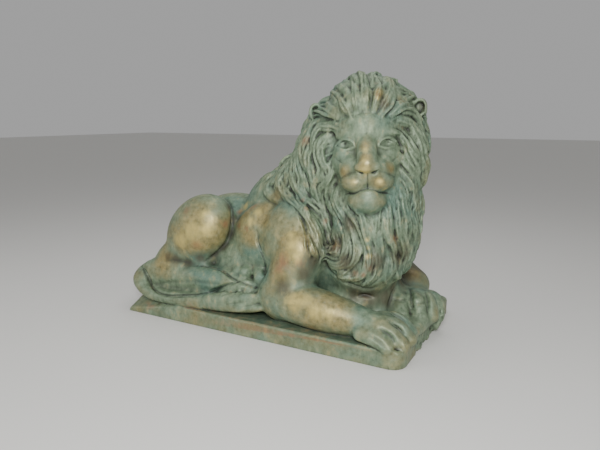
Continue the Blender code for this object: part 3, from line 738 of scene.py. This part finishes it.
def traceHair(start, surface, flow, length):
    run = []
    point, normal = surface.find_nearest(start)[:2]
    phase = 7 * start.x - 5 * start.y + 4 * start.z  # so that locks a few centimetres apart wave alike
    step = mane["step"]
    for i in range(round(length / step) + 1):
        if not inMane(point):
            break
        run.append((point, normal))
        direction, drawn = flow.direction(point, normal)
        wave = math.radians(mane["wave"]) * (1 - drawn)
        wave *= math.sin(2 * math.pi * i * step / mane["wavelength"] + phase)
        direction.rotate(Quaternion(normal, wave))
        point, normal = surface.find_nearest(point + direction * step)[:2]
    return run


def taperedLock(run, radius, sunk, lift):
    # Half its girth at the root, full at the belly and thin at the tip
    path = []
    for i, (point, normal) in enumerate(run):
        s = i / (len(run) - 1)
        swell = math.sin(math.pi * min(1, taper["belly"] * s))
        thick = radius * (taper["root"] + (1 - taper["root"]) * swell) * (1 - taper["tip"] * s**3)
        path.append((point + normal * (thick * lift * s - sunk * radius), normal, thick))
    return path


def drawnPaths(runs, kind):
    return [taperedLock(run, kind["radius"], kind["sunk"], kind["lift"]) for run in runs
            if len(run) >= kind["fewest"]]


def spreadRoots(mesh, spacing, random, faceGrow):
    # Places in the mane in a random order, none nearer to another than the spacing
    roots = []
    grid = {}
    points, _ = coordinates(mesh)
    for index in random.permutation(len(points)):
        root = Vector(points[index])
        if not inMane(root) or onFace(root, faceGrow):
            continue
        key = tuple(int(math.floor(c / spacing)) for c in root)
        around = [grid.get((key[0] + i, key[1] + j, key[2] + k), [])
                  for i in (-1, 0, 1) for j in (-1, 0, 1) for k in (-1, 0, 1)]
        if any((root - other).length < spacing for some in around for other in some):
            continue
        grid.setdefault(key, []).append(root)
        roots.append(root)
    return roots


def guidesAsMesh(paths, name):
    # Edges along each lock, with its thickness and which way is outward at each point
    points = [point for path in paths for point, _, _ in path]
    edges = []
    start = 0
    for path in paths:
        edges += [(start + i, start + i + 1) for i in range(len(path) - 1)]
        start += len(path)
    mesh = bpy.data.meshes.new(name)
    mesh.from_pydata(points, edges, [])
    thickness = mesh.attributes.new("thickness", "FLOAT", "POINT")
    thickness.data.foreach_set("value", [t for path in paths for _, _, t in path])
    outward = mesh.attributes.new("outward", "FLOAT_VECTOR", "POINT")
    outward.data.foreach_set("vector", [c for path in paths for _, n, _ in path for c in n])
    return mesh


def addNode(tree, kind, links=None, **settings):
    node = tree.nodes.new(kind)
    for name, value in settings.items():
        setattr(node, name, value)
    for name, source in (links or {}).items():
        socket = node.inputs[name]
        if isinstance(source, bpy.types.NodeSocket):
            tree.links.new(source, socket)
        else:
            socket.default_value = source
    return node


def hairTree():
    tree = bpy.data.node_groups.new("hair along guides", "GeometryNodeTree")
    face = tree.interface
    face.new_socket("Geometry", in_out="INPUT", socket_type="NodeSocketGeometry")
    for name, kind, value in (("Sides", "Int", 12), ("Ridges", "Float", 5.0), ("Ridge depth", "Float", 0.15),
                              ("Flatness", "Float", 0.7), ("Twist", "Float", 0.4), ("Seed", "Int", 3)):
        face.new_socket(name, in_out="INPUT", socket_type=f"NodeSocket{kind}").default_value = value
    face.new_socket("Material", in_out="INPUT", socket_type="NodeSocketMaterial")
    face.new_socket("Geometry", in_out="OUTPUT", socket_type="NodeSocketGeometry")
    given = addNode(tree, "NodeGroupInput").outputs
    guides = addNode(tree, "GeometryNodeMeshToCurve", {"Mesh": given["Geometry"]})
    outward = addNode(tree, "GeometryNodeInputNamedAttribute", {"Name": "outward"}, data_type="FLOAT_VECTOR")
    turned = addNode(tree, "GeometryNodeSetCurveNormal",
                     {"Curve": guides.outputs["Curve"], "Normal": outward.outputs["Attribute"]}, mode="FREE")
    spline = addNode(tree, "GeometryNodeSplineParameter")
    most = given["Twist"]
    least = addNode(tree, "ShaderNodeMath", {0: most, 1: -1.0}, operation="MULTIPLY")
    guideNumber = addNode(tree, "GeometryNodeInputIndex")
    oneEach = addNode(tree, "GeometryNodeFieldOnDomain", {"Value": guideNumber.outputs[0]},
                      domain="CURVE", data_type="INT")
    twist = addNode(tree, "FunctionNodeRandomValue",
                    {2: least.outputs[0], 3: most, "ID": oneEach.outputs[0], "Seed": given["Seed"]},
                    data_type="FLOAT")
    tilted = addNode(tree, "GeometryNodeSetCurveTilt",
                     {"Curve": turned.outputs["Curve"], "Tilt": twist.outputs[1]})
    circle = addNode(tree, "GeometryNodeCurvePrimitiveCircle", {"Resolution": given["Sides"], "Radius": 1.0})
    angle = addNode(tree, "ShaderNodeMath", {0: given["Ridges"], 1: 2 * math.pi}, operation="MULTIPLY")
    around = addNode(tree, "ShaderNodeMath", {0: spline.outputs["Factor"], 1: angle.outputs[0]},
                     operation="MULTIPLY")
    ripple = addNode(tree, "ShaderNodeMath", {0: around.outputs[0]}, operation="COSINE")
    swell = addNode(tree, "ShaderNodeMath", {0: ripple.outputs[0], 1: given["Ridge depth"], 2: 1.0},
                    operation="MULTIPLY_ADD")
    place = addNode(tree, "GeometryNodeInputPosition")
    ridged = addNode(tree, "ShaderNodeVectorMath", {0: place.outputs[0], "Scale": swell.outputs[0]},
                     operation="SCALE")
    squeeze = addNode(tree, "ShaderNodeCombineXYZ", {"X": given["Flatness"], "Y": 1.0, "Z": 1.0})
    flat = addNode(tree, "ShaderNodeVectorMath", {0: ridged.outputs[0], 1: squeeze.outputs[0]},
                   operation="MULTIPLY")
    profile = addNode(tree, "GeometryNodeSetPosition",
                      {"Geometry": circle.outputs["Curve"], "Position": flat.outputs[0]})
    thickness = addNode(tree, "GeometryNodeInputNamedAttribute", {"Name": "thickness"}, data_type="FLOAT")
    swept = addNode(tree, "GeometryNodeCurveToMesh",
                    {"Curve": tilted.outputs["Curve"], "Profile Curve": profile.outputs["Geometry"],
                     "Scale": thickness.outputs["Attribute"], "Fill Caps": True})
    real = addNode(tree, "GeometryNodeRealizeInstances", {"Geometry": swept.outputs["Mesh"]})
    dressed = addNode(tree, "GeometryNodeSetMaterial",
                      {"Geometry": real.outputs["Geometry"], "Material": given["Material"]})
    addNode(tree, "NodeGroupOutput", {"Geometry": dressed.outputs["Geometry"]})
    return tree


hairNodes = hairTree()


def hairMesh(paths, name, material, sizes):
    obj = bpy.data.objects.new(name, guidesAsMesh(paths, name))
    modifier = obj.modifiers.new("hair", "NODES")
    modifier.node_group = hairNodes
    named = {item.name: item.identifier for item in hairNodes.interface.items_tree
             if item.in_out == "INPUT"}
    for key, value in {**sizes, "Material": material}.items():
        modifier[named[key]] = value
    return finishedMesh(obj)


def maneLocks(flesh, surface, flow, random):
    kind = hairKinds["lock"]
    paths = []
    for root in spreadRoots(flesh, kind["spacing"], random, 1.0):
        run = traceHair(root, surface, flow, random.uniform(*kind["length"]))
        if len(run) >= kind["fewest"]:
            radius = kind["radius"] * random.uniform(*kind["spread"])
            paths.append(taperedLock(run, radius, kind["sunk"], kind["lift"]))
    return paths


def maneStrands(form, surface, flow, random):
    kind = hairKinds["strand"]
    paths = []
    for root in spreadRoots(form, kind["spacing"], random, mane["strandsOverTheFace"]):
        run = traceHair(root, surface, flow, random.uniform(*kind["length"]))
        if len(run) >= kind["fewest"]:
            radius = kind["radius"] * random.uniform(*kind["spread"])
            paths.append(taperedLock(run, radius, random.uniform(*kind["sunk"]), kind["lift"]))
    return paths


def baseMesh():
    bm = bmesh.new()
    size = Matrix.Diagonal((base["length"], base["width"], base["thickness"], 1))
    place = Matrix.Translation((0, 0, base["thickness"] / 2))
    bmesh.ops.create_cube(bm, size=1, matrix=place @ size)
    upright = base["thickness"] / 2
    front = [e for e in bm.edges if abs(e.verts[0].co.z - e.verts[1].co.z) > upright and e.verts[0].co.x > 0]
    bmesh.ops.bevel(bm, geom=front, offset=base["frontCornerRadius"], segments=base["cornerSteps"],
                    profile=0.5, affect="EDGES")
    halfLength = base["length"] / 2
    halfWidth = base["width"] / 2
    tip = Vector((-halfLength, -halfWidth, base["wornLeft"]))
    along = Vector((-halfLength + base["wornAlong"], -halfWidth, base["thickness"]))
    across = Vector((-halfLength, -halfWidth + base["wornAcross"], base["thickness"]))
    facing = (along - tip).cross(across - tip).normalized()
    worn = bmesh.ops.bisect_plane(bm, geom=[*bm.verts, *bm.edges, *bm.faces], plane_co=tip, plane_no=facing,
                                  clear_outer=True)
    rim = [e for e in worn["geom_cut"] if isinstance(e, bmesh.types.BMEdge)]
    bmesh.ops.edgenet_fill(bm, edges=rim)
    topRim = [e for e in bm.edges if len(e.link_faces) == 2 and e.calc_face_angle() > base["sharpFrom"]
              and min(v.co.z for v in e.verts) > base["aboveTheUnderside"]]
    bmesh.ops.bevel(bm, geom=topRim, offset=base["edgeRound"], segments=base["edgeSteps"], profile=0.5,
                    affect="EDGES")
    bmesh.ops.recalc_face_normals(bm, faces=bm.faces)
    bm.transform(Matrix.Translation((0, 0, -base["thickness"])))
    mesh = bpy.data.meshes.new("base")
    bm.to_mesh(mesh)
    bm.free()
    return mesh


# The finished figure: its triangles, the passes that its reliefs are measured over, how far the mane is
# deepened, and the height under which the underside is made flat
casting = {
    "triangles": 194000,
    "finePasses": 12,
    "manePasses": 24,
    "broadPasses": 150,
    "keptEachPass": 0.3,
    "deepened": 0.9,
    "deepest": 0.010,
    "flatUnder": 0.004,
}


def decimated(mesh, triangles):
    mesh.calc_loop_triangles()
    obj = bpy.data.objects.new("figure", mesh)
    fewer = obj.modifiers.new("fewer", "DECIMATE")
    fewer.ratio = triangles / len(mesh.loop_triangles)
    return finishedMesh(obj)


# Surface of the casting: places seen in the photograph where the patina is worn or stained, and places
# with painted highlights and painted shade, in its pixels, with the reach of each in metres
wearAndPaintedLightPlaces = {
    "tan": {
        "thigh": [(196, 222, 0.13), (182, 238, 0.10), (204, 240, 0.11), (165, 262, 0.08)],
        "flank": [(246, 212, 0.09), (262, 222, 0.09), (250, 236, 0.08), (266, 206, 0.08), (276, 196, 0.08)],
        "shoulder": [(284, 252, 0.13), (302, 240, 0.10), (280, 275, 0.08)],
        "forearm": [(296, 298, 0.10), (316, 308, 0.10), (340, 316, 0.08)],
        "bridge": [(365, 146, 0.03), (365, 158, 0.035), (365, 168, 0.04)],
        "lip": [(380, 182, 0.04)],
        "cheeks": [(344, 172, 0.035), (390, 168, 0.035)],
        "farArm": [(412, 272, 0.05)],
        "crest": [(380, 92, 0.03), (400, 100, 0.03)],
    },
    # Rubbed gold metal; the thigh, forearm, shoulder, noseBridge and lip spots are also painted highlights
    "goldAndHighlight": {
        "thigh": [(181, 241, 0.050), (192, 232, 0.065), (207, 230, 0.045), (204, 214, 0.03)],
        "forearm": [(293, 302, 0.045), (304, 300, 0.045), (315, 311, 0.05), (328, 314, 0.035)],
        "shoulder": [(293, 244, 0.040), (296, 254, 0.040), (292, 236, 0.03)],
        "flank": [(246, 206, 0.030), (250, 222, 0.030), (258, 212, 0.030)],
        "leftLip": [(353, 182, 0.018)],
        "noseBridge": [(365, 150, 0.016), (364, 160, 0.016), (364, 170, 0.026)],
        "lip": [(379, 181, 0.018), (385, 189, 0.016)],
        "chestLock": [(368, 248, 0.014), (369, 256, 0.014), (367, 240, 0.012)],
        "crest": [(380, 92, 0.010), (378, 98, 0.010)],
    },
    # Brown stains, and painted shade: thigh on the side that turns away, underTheThigh, chest under the
    # chest, farArm under the far arm
    "brownAndShade": {
        "thigh": [(230, 208, 0.035), (232, 220, 0.038), (230, 233, 0.038), (223, 246, 0.035),
                  (214, 254, 0.035)],
        "underTheThigh": [(176, 259, 0.040), (188, 263, 0.040), (168, 256, 0.030), (200, 258, 0.035)],
        "shoulder": [(304, 274, 0.05), (283, 288, 0.05), (312, 262, 0.05)],
        "chestHair": [(334, 246, 0.07), (346, 262, 0.06), (376, 262, 0.06), (350, 224, 0.05),
                      (398, 256, 0.06)],
        "ears": [(425, 106, 0.035)],
        "base": [(215, 330, 0.04), (248, 338, 0.03), (298, 347, 0.04), (328, 356, 0.03)],
        "farArm": [(408, 275, 0.08), (418, 268, 0.07), (400, 280, 0.05)],
        "chest": [(356, 294, 0.06), (370, 296, 0.07), (386, 298, 0.06), (392, 288, 0.04)],
        "crest": [(384, 104, 0.035)],
    },
    "copper": {
        "thigh": [(196, 244, 0.035), (186, 211, 0.035), (226, 224, 0.035)],
        "shoulder": [(283, 262, 0.05), (278, 268, 0.04), (300, 262, 0.03)],
        "flank": [(239, 226, 0.030), (240, 212, 0.025), (254, 206, 0.030), (247, 228, 0.025)],
        "chest": [(370, 269, 0.025), (355, 273, 0.025), (363, 275, 0.02), (395, 238, 0.025),
                  (335, 246, 0.03)],
        "neckLocks": [(326, 221, 0.015), (302, 201, 0.018), (307, 208, 0.018), (305, 140, 0.03)],
        "crest": [(379, 95, 0.015)],
        "slit": [(366, 296, 0.025)],
        "baseEdge": [(190, 311, 0.045), (212, 316, 0.055), (232, 321, 0.06), (256, 326, 0.06),
                     (282, 331, 0.06), (308, 337, 0.06), (330, 343, 0.05), (152, 305, 0.04)],
        "baseSide": [(196, 322, 0.03), (238, 334, 0.035), (286, 343, 0.03), (322, 352, 0.03),
                     (358, 350, 0.03)],
    },
}
patina = {
    "verdigrisPale": "#8FA184",
    "verdigrisDeep": "#576A52",
    "teal": "#57796C",
    "olive": "#77734F",
    "tan": "#B0A26E",
    # Gold of rubbed metal, also used to paint highlights
    "goldAndHighlight": "#DAC87C",
    "copper": "#966C4E",
    "bloom": "#A9B49B",
    # Brown of stains, also used to paint shade
    "brownAndShade": "#4A4030",
    # Umber of dark patina, also used to paint shade in broad hollows
    "umber": "#2B281E",
    # Near black, used to paint shade in hollows and creases
    "crevice": "#131712",
}
# Patterns over the casting: size in millimetres, detail, stretch in X, Y and Z, roughness. Real pits are
# about 1 mm and the chaser's lines in the hair about 5 mm, too fine to show here, so both are coarser
patterns = {
    "cloud": (160.0, 5.0, (1, 1, 1), 0.55),
    "tealCloud": (230.0, 4.0, (1, 1, 1), 0.55),
    "streak": (45.0, 3.0, (1.2, 1.2, 0.65), 0.55),
    "speck": (28.0, 3.0, (1, 1, 1), 0.55),
    "mottle": (24.0, 6.0, (1, 1, 1), 0.7),
    "hairLine": (14.0, 3.0, (1.2, 1.2, 0.35), 0.55),
    "pit": (6.0, 5.0, (1, 1, 1), 0.65),
    "wave": (45.0, 2.0, (1.2, 1.2, 0.65), 0.55),
}
# What the patterns and the mesh's own attributes are made into, row by row. A RANGE row takes its measure
# from the first two numbers to the last two, and the others work on two measures
measuring = {
    "paleStreaks": ("RANGE", "streak", 0.25, 0.75, 0.0, 1.0),
    "tealClouds": ("RANGE", "tealCloud", 0.48, 0.68, 0.0, 0.7),
    "tanSpecks": ("RANGE", "speck", 0.2, 0.8, 0.0, 1.0),
    "rubbedWhereProud": ("RANGE", "broadRelief", -0.010, 0.030, -0.1, 0.35),
    "rubbedInClouds": ("RANGE", "cloud", 0.35, 0.65, -0.25, 0.25),
    "rubbedAnywhere": ("ADD", "rubbedWhereProud", "rubbedInClouds"),
    "rubbedWhereSeen": ("MULTIPLY", "tanWear", 0.75),
    "rubbing": ("ADD", "rubbedAnywhere", "rubbedWhereSeen"),
    "rubbed": ("RANGE", "rubbing", 0.15, 0.85, 0.0, 1.0),
    "umberMottle": ("RANGE", "mottle", 0.50, 0.30, 0.0, 0.36),
    "bloomMottle": ("RANGE", "mottle", 0.55, 0.75, 0.0, 0.45),
    "copperStreaks": ("RANGE", "streak", 0.35, 0.70, -0.45, 0.20),
    "copperInStreaks": ("ADD", "copperWear", "copperStreaks"),
    "copperStain": ("RANGE", "copperInStreaks", 0.05, 0.95, 0.0, 0.72),
    "brownMottle": ("RANGE", "mottle", 0.3, 0.7, -0.25, 0.20),
    # Brown stains, and painted shade at the listed shaded places
    "brownWhereSeen": ("MULTIPLY", "brownAndShadeWear", 1.2),
    "brownInMottle": ("ADD", "brownWhereSeen", "brownMottle"),
    "brownStainAndShade": ("RANGE", "brownInMottle", 0.05, 0.95, 0.0, 0.72),
    # Gold where rubbed to the metal, and painted highlights
    "goldStreaks": ("RANGE", "streak", 0.3, 0.7, -0.35, 0.20),
    "goldInStreaks": ("ADD", "goldAndHighlightWear", "goldStreaks"),
    "bareMetalAndHighlight": ("RANGE", "goldInStreaks", 0.05, 0.95, 0.0, 0.8),
    "hanging": ("RANGE", "hairLine", 0.35, 0.65, -1.0, 1.0),
    "hairLines": ("MULTIPLY", "hanging", "maneShare"),
    "betweenHairs": ("RANGE", "hairLines", 0.0, -1.0, 0.0, 0.34),
    # Painted highlight on the fine ridges
    "paintedRidgeHighlight": ("RANGE", "fineRelief", 0.0006, 0.0040, 0.0, 0.45),
    # Painted shade in the small hollows
    "smallHollows": ("RANGE", "fineRelief", -0.0003, -0.0032, 0.0, 0.90),
    # Painted shade along the creases, patchy in strength
    "creaseShadeMottle": ("RANGE", "mottle", 0.3, 0.6, 0.7, 1.0),
    "paintedCreaseShade": ("MULTIPLY", "crease", "creaseShadeMottle"),
    # Painted shade in hollows and creases together
    "hollows": ("MAXIMUM", "smallHollows", "paintedCreaseShade"),
    # Painted shade in the broad hollows
    "paintedBroadShade": ("RANGE", "broadRelief", -0.004, -0.05, 0.0, 0.65),
    "metalWhereRubbed": ("RANGE", "rubbed", 0.0, 1.0, 0.30, 0.60),
    "metalInHollows": ("RANGE", "hollows", 0.0, 1.0, 1.0, 0.3),
    "metallic": ("MULTIPLY", "metalWhereRubbed", "metalInHollows"),
    "roughWhereRubbed": ("RANGE", "rubbed", 0.0, 1.0, 0.55, 0.43),
    "roughSpecks": ("RANGE", "speck", 0.3, 0.7, -0.06, 0.08),
    "roughness": ("ADD", "roughWhereRubbed", "roughSpecks"),
}
# Coats of colour, row by row: how much of the upper one shows, the lower one and the upper one
coats = {
    "verdigris": ("paleStreaks", "verdigrisDeep", "verdigrisPale"),
    "greenCoat": ("tealClouds", "verdigris", "teal"),
    "brownCoat": ("tanSpecks", "olive", "tan"),
    "rubbedCoat": ("rubbed", "greenCoat", "brownCoat"),
    "mottledCoat": ("umberMottle", "rubbedCoat", "umber"),
    "bloomingCoat": ("bloomMottle", "mottledCoat", "bloom"),
    "copperyCoat": ("copperStain", "bloomingCoat", "copper"),
    # Brown stains and painted shade
    "stainedAndShadedCoat": ("brownStainAndShade", "copperyCoat", "brownAndShade"),
    # Rubbed gold metal and painted highlights
    "goldenCoat": ("bareMetalAndHighlight", "stainedAndShadedCoat", "goldAndHighlight"),
    "linedCoat": ("betweenHairs", "goldenCoat", "umber"),
    # Painted highlight on the fine ridges
    "ridgedCoat": ("paintedRidgeHighlight", "linedCoat", "verdigrisPale"),
    # Painted shade in hollows and creases
    "shadedHollowsCoat": ("hollows", "ridgedCoat", "crevice"),
    # Painted shade in the broad hollows, in umber
    "lastCoat": ("paintedBroadShade", "shadedHollowsCoat", "umber"),
}
# Bumps of the surface: the measure that raises each, its strength and its height in millimetres
bumps = [("pit", 0.35, 1.5), ("wave", 0.3, 4.0), ("hairLines", 0.5, 1.2)]


def linear(hexColour):
    parts = [int(hexColour[i : i + 2], 16) / 255 for i in (1, 3, 5)]
    return (*[c / 12.92 if c <= 0.04045 else ((c + 0.055) / 1.055) ** 2.4 for c in parts], 1)


def edgesOf(mesh):
    edges = np.empty(len(mesh.edges) * 2, np.int32)
    mesh.edges.foreach_get("vertices", edges)
    return edges.reshape(-1, 2)


def relief(mesh, passes):
    # How far each point stands out of the form once that is smoothed
    points, normals = coordinates(mesh)
    edges = edgesOf(mesh)
    kept = casting["keptEachPass"]
    smooth = points.copy()
    counts = np.bincount(edges.ravel(), minlength=len(points)).astype(float)[:, None]
    a, b = edges.T
    for _ in range(passes):
        total = np.empty_like(smooth)
        for axis in range(3):
            values = smooth[:, axis]
            total[:, axis] = np.bincount(a, values[b], len(points)) + np.bincount(b, values[a], len(points))
        smooth = kept * smooth + (1 - kept) * total / counts
    return np.einsum("ij,ij->i", points - smooth, normals)


def placesShareAt(points, surface, places):
    # 1 at each listed place, fading out over its reach
    wear = np.zeros(len(points))
    for spots in places.values():
        for u, v, reach in spots:
            hit = castFromView(surface, u, v)[0]
            if hit is not None:
                gap = np.linalg.norm(points - np.array(hit), axis=1)
                wear = np.maximum(wear, np.exp(-((gap / reach) ** 2)))
    return wear


def maneShare(points):
    # 1 in the mane, falling to 0 at its edge and at the face
    lengths, heights = zip(*mane["edge"])
    above = points[:, 2] - np.interp(points[:, 0], lengths, heights)
    inside = np.clip(above / mane["fadeAtTheEdge"], 0, 1) * (points[:, 0] > lengths[0])
    turn = np.array(toFace)
    forward, left, up = (points @ turn[:3, :3].T + turn[:3, 3]).T
    inner, outer = mane["fadeAtTheFace"]
    face = np.clip((outer - faceReach(left, up)) / (outer - inner), 0, 1) * (forward > 0)
    return inside * (1 - face)


def deepenMane(mesh):
    points, normals = coordinates(mesh)
    proud = np.clip(relief(mesh, casting["manePasses"]), -casting["deepest"], casting["deepest"])
    moveTo(mesh, points + normals * (casting["deepened"] * maneShare(points) * proud)[:, None])


def addAttribute(mesh, name, values):
    attribute = mesh.attributes.new(name, "FLOAT", "POINT")
    attribute.data.foreach_set("value", values.astype(np.float32))


def castBronze():
    # Cast bronze, left outdoors: thin green copper salts over brown metal, rubbed to the metal on what
    # stands proud, with painted highlights on ridges and rubbed spots and painted shade in hollows and
    # creases
    material = bpy.data.materials.new("cast bronze with verdigris")
    material.use_nodes = True
    tree = material.node_tree
    shader = tree.nodes["Principled BSDF"]
    place = addNode(tree, "ShaderNodeTexCoord").outputs["Object"]
    measures = {}
    for name, (millimetres, detail, stretch, rough) in patterns.items():
        stretched = addNode(tree, "ShaderNodeMapping", {"Vector": place, "Scale": stretch})
        grain = addNode(tree, "ShaderNodeTexNoise",
                        {"Vector": stretched.outputs[0], "Scale": 1000 / millimetres, "Detail": detail,
                         "Roughness": rough})
        measures[name] = grain.outputs["Fac"]
    for name in ("fineRelief", "broadRelief", "crease", "maneShare", *[f"{k}Wear" for k in wearAndPaintedLightPlaces]):
        measures[name] = addNode(tree, "ShaderNodeAttribute", attribute_name=name).outputs["Fac"]
    for name, (rule, *given) in measuring.items():
        given = [measures[g] if isinstance(g, str) else g for g in given]
        if rule == "RANGE":
            inputs = zip(("Value", "From Min", "From Max", "To Min", "To Max"), given)
            node = addNode(tree, "ShaderNodeMapRange", dict(inputs))
        else:
            node = addNode(tree, "ShaderNodeMath", dict(enumerate(given)), operation=rule)
        measures[name] = node.outputs[0]
    paint = {name: linear(hexColour) for name, hexColour in patina.items()}
    for name, (share, lower, upper) in coats.items():
        links = {"Factor": measures[share], 6: paint[lower], 7: paint[upper]}
        paint[name] = addNode(tree, "ShaderNodeMix", links, data_type="RGBA").outputs[2]
    raised = {}
    for name, strength, millimetres in bumps:
        links = {"Height": measures[name], "Strength": strength, "Distance": millimetres / 1000, **raised}
        raised = {"Normal": addNode(tree, "ShaderNodeBump", links).outputs["Normal"]}
    for name, source in {"Base Color": paint["lastCoat"], "Metallic": measures["metallic"],
                         "Roughness": measures["roughness"], **raised}.items():
        tree.links.new(source, shader.inputs[name])
    return material


blank = bpy.data.materials.new("blank")
random = np.random.default_rng(mane["seed"])
lockHair = {"Sides": 28, "Ridges": 7.0, "Ridge depth": 0.16, "Flatness": 0.7, "Twist": 0.4, "Seed": 3}
strandHair = {"Sides": 8, "Ridges": 2.0, "Ridge depth": 0.1, "Flatness": 0.8, "Twist": 0.3, "Seed": 5}

flesh = addFace(modelMasses())
print("body, head and feet:", len(flesh.vertices), "points")
surface = surfaceOf(flesh)
drawn = drawnOnSkin(surface, drawnLocks.values())
flow = HairFlow(drawn)
carve(flesh, strokesOnSkin(surface) + faceStrokesOnSkin(surface, ["eyeSocket", "besideTheNose"]))
surface = surfaceOf(flesh)
locks = drawnPaths(drawn, hairKinds["drawn"])
locks += maneLocks(flesh, surface, flow, random)
locks += drawnPaths(drawnOnSkin(surface, tuftLocks), hairKinds["tuft"])
print("mane and tuft:", len(locks), "locks")
bm = bmesh.new()
bm.from_mesh(flesh)
addEars(bm)
bm.from_mesh(hairMesh(locks, "locks", blank, lockHair))
form = oneSkin(bm, skin["lockGrain"], skin["lockSmoothing"])
print("form with its locks:", len(form.vertices), "points")
strands = maneStrands(form, surfaceOf(form), flow, random)
print("mane:", len(strands), "strands")
bm = bmesh.new()
bm.from_mesh(form)
bm.from_mesh(hairMesh(strands, "strands", blank, strandHair))
addEyes(bm, surface)
bm.from_mesh(baseMesh())
fine = oneSkin(bm, skin["fineGrain"], skin["fineSmoothing"])
print("lion on its base:", len(fine.vertices), "points")
deepenMane(fine)
fineSurface = surfaceOf(fine)
faceLines = ["philtrum", "furrow", "mouth", "nostril", "aboveTheLip", "underThePouch", "lidLine"]
carve(fine, faceStrokesOnSkin(fineSurface, faceLines) + irises(fineSurface))
roughen(fine, fineSurface)
# Face lines with painted shade along them
darkFaceLines = ["philtrum", "mouth", "nostril", "lidLine"]
creasePaths = strokesOnSkin(fineSurface, creases["again"]) + faceStrokesOnSkin(fineSurface, darkFaceLines)
addAttribute(fine, "fineRelief", relief(fine, casting["finePasses"]))
figure = decimated(fine, casting["triangles"])

# The finished figure is set on the ground, inside the CAD's own box, with a flat underside
lifted = np.array((0, 0, base["thickness"]))
points, _ = coordinates(figure)
points = np.clip(points + lifted, *np.array(cadBox))
points[points[:, 2] < casting["flatUnder"], 2] = 0.0
moveTo(figure, points)
print("casting:", len(figure.polygons), "faces")
lion = bpy.data.objects.new("lion_casting", figure)
bpy.context.scene.collection.objects.link(lion)
figure.shade_smooth()
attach(lion, "root")
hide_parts("lion_statue")
figure.materials.clear()
figure.materials.append(castBronze())
points, _ = coordinates(figure)
addAttribute(figure, "broadRelief", relief(figure, casting["broadPasses"]))
addAttribute(figure, "crease", creaseAt(points, [(path + lifted, w, d) for path, w, d in creasePaths]))
addAttribute(figure, "maneShare", maneShare(points - lifted))
for name, places in wearAndPaintedLightPlaces.items():
    addAttribute(figure, name + "Wear", placesShareAt(points - lifted, fineSurface, places))
print("patina:", len(patina), "colours,", len(patterns), "patterns")

# A plain studio: places and sizes in metres, light in watts
studio = {
    "floorReach": 30,
    "floorColour": "#D9D8D4",
    "floorRoughness": 0.9,
    "aim": (0, 0, 0.6),
    "grey": 0.8,
    "greyStrength": 0.50,
    "lights": {
        "key": ((2.0, -3.6, 2.3), 1.0, 165),
        "fill": ((-2.8, -3.2, 2.2), 3.0, 30),
        "top": ((0.0, 0.5, 4.0), 3.0, 45),
    },
}


def studioBoard():
    # Board with matt paint: an even pale grey without a gleam
    material = bpy.data.materials.new("painted studio board")
    material.use_nodes = True
    shader = material.node_tree.nodes["Principled BSDF"]
    shader.inputs["Base Color"].default_value = linear(studio["floorColour"])
    shader.inputs["Roughness"].default_value = studio["floorRoughness"]
    return material


reach = studio["floorReach"]
floorMesh = bpy.data.meshes.new("floor")
floorMesh.from_pydata([(-reach, -reach, 0), (reach, -reach, 0), (reach, reach, 0), (-reach, reach, 0)], [],
                      [(0, 1, 2, 3)])
floorMesh.materials.append(studioBoard())
floor = bpy.data.objects.new("floor", floorMesh)
bpy.context.scene.collection.objects.link(floor)

for name, (place, size, power) in studio["lights"].items():
    light = bpy.data.lights.new(name, "AREA")
    light.size = size
    light.energy = power
    lightObject = bpy.data.objects.new(name, light)
    lightObject.location = place
    lightObject.rotation_euler = (Vector(studio["aim"]) - Vector(place)).to_track_quat("-Z", "Y").to_euler()
    bpy.context.scene.collection.objects.link(lightObject)
world = bpy.data.worlds.new("studio")
world.use_nodes = True
background = world.node_tree.nodes["Background"]
background.inputs["Color"].default_value = (*[studio["grey"]] * 3, 1)
background.inputs["Strength"].default_value = studio["greyStrength"]
bpy.context.scene.world = world
print("studio:", len(studio["lights"]), "lights")
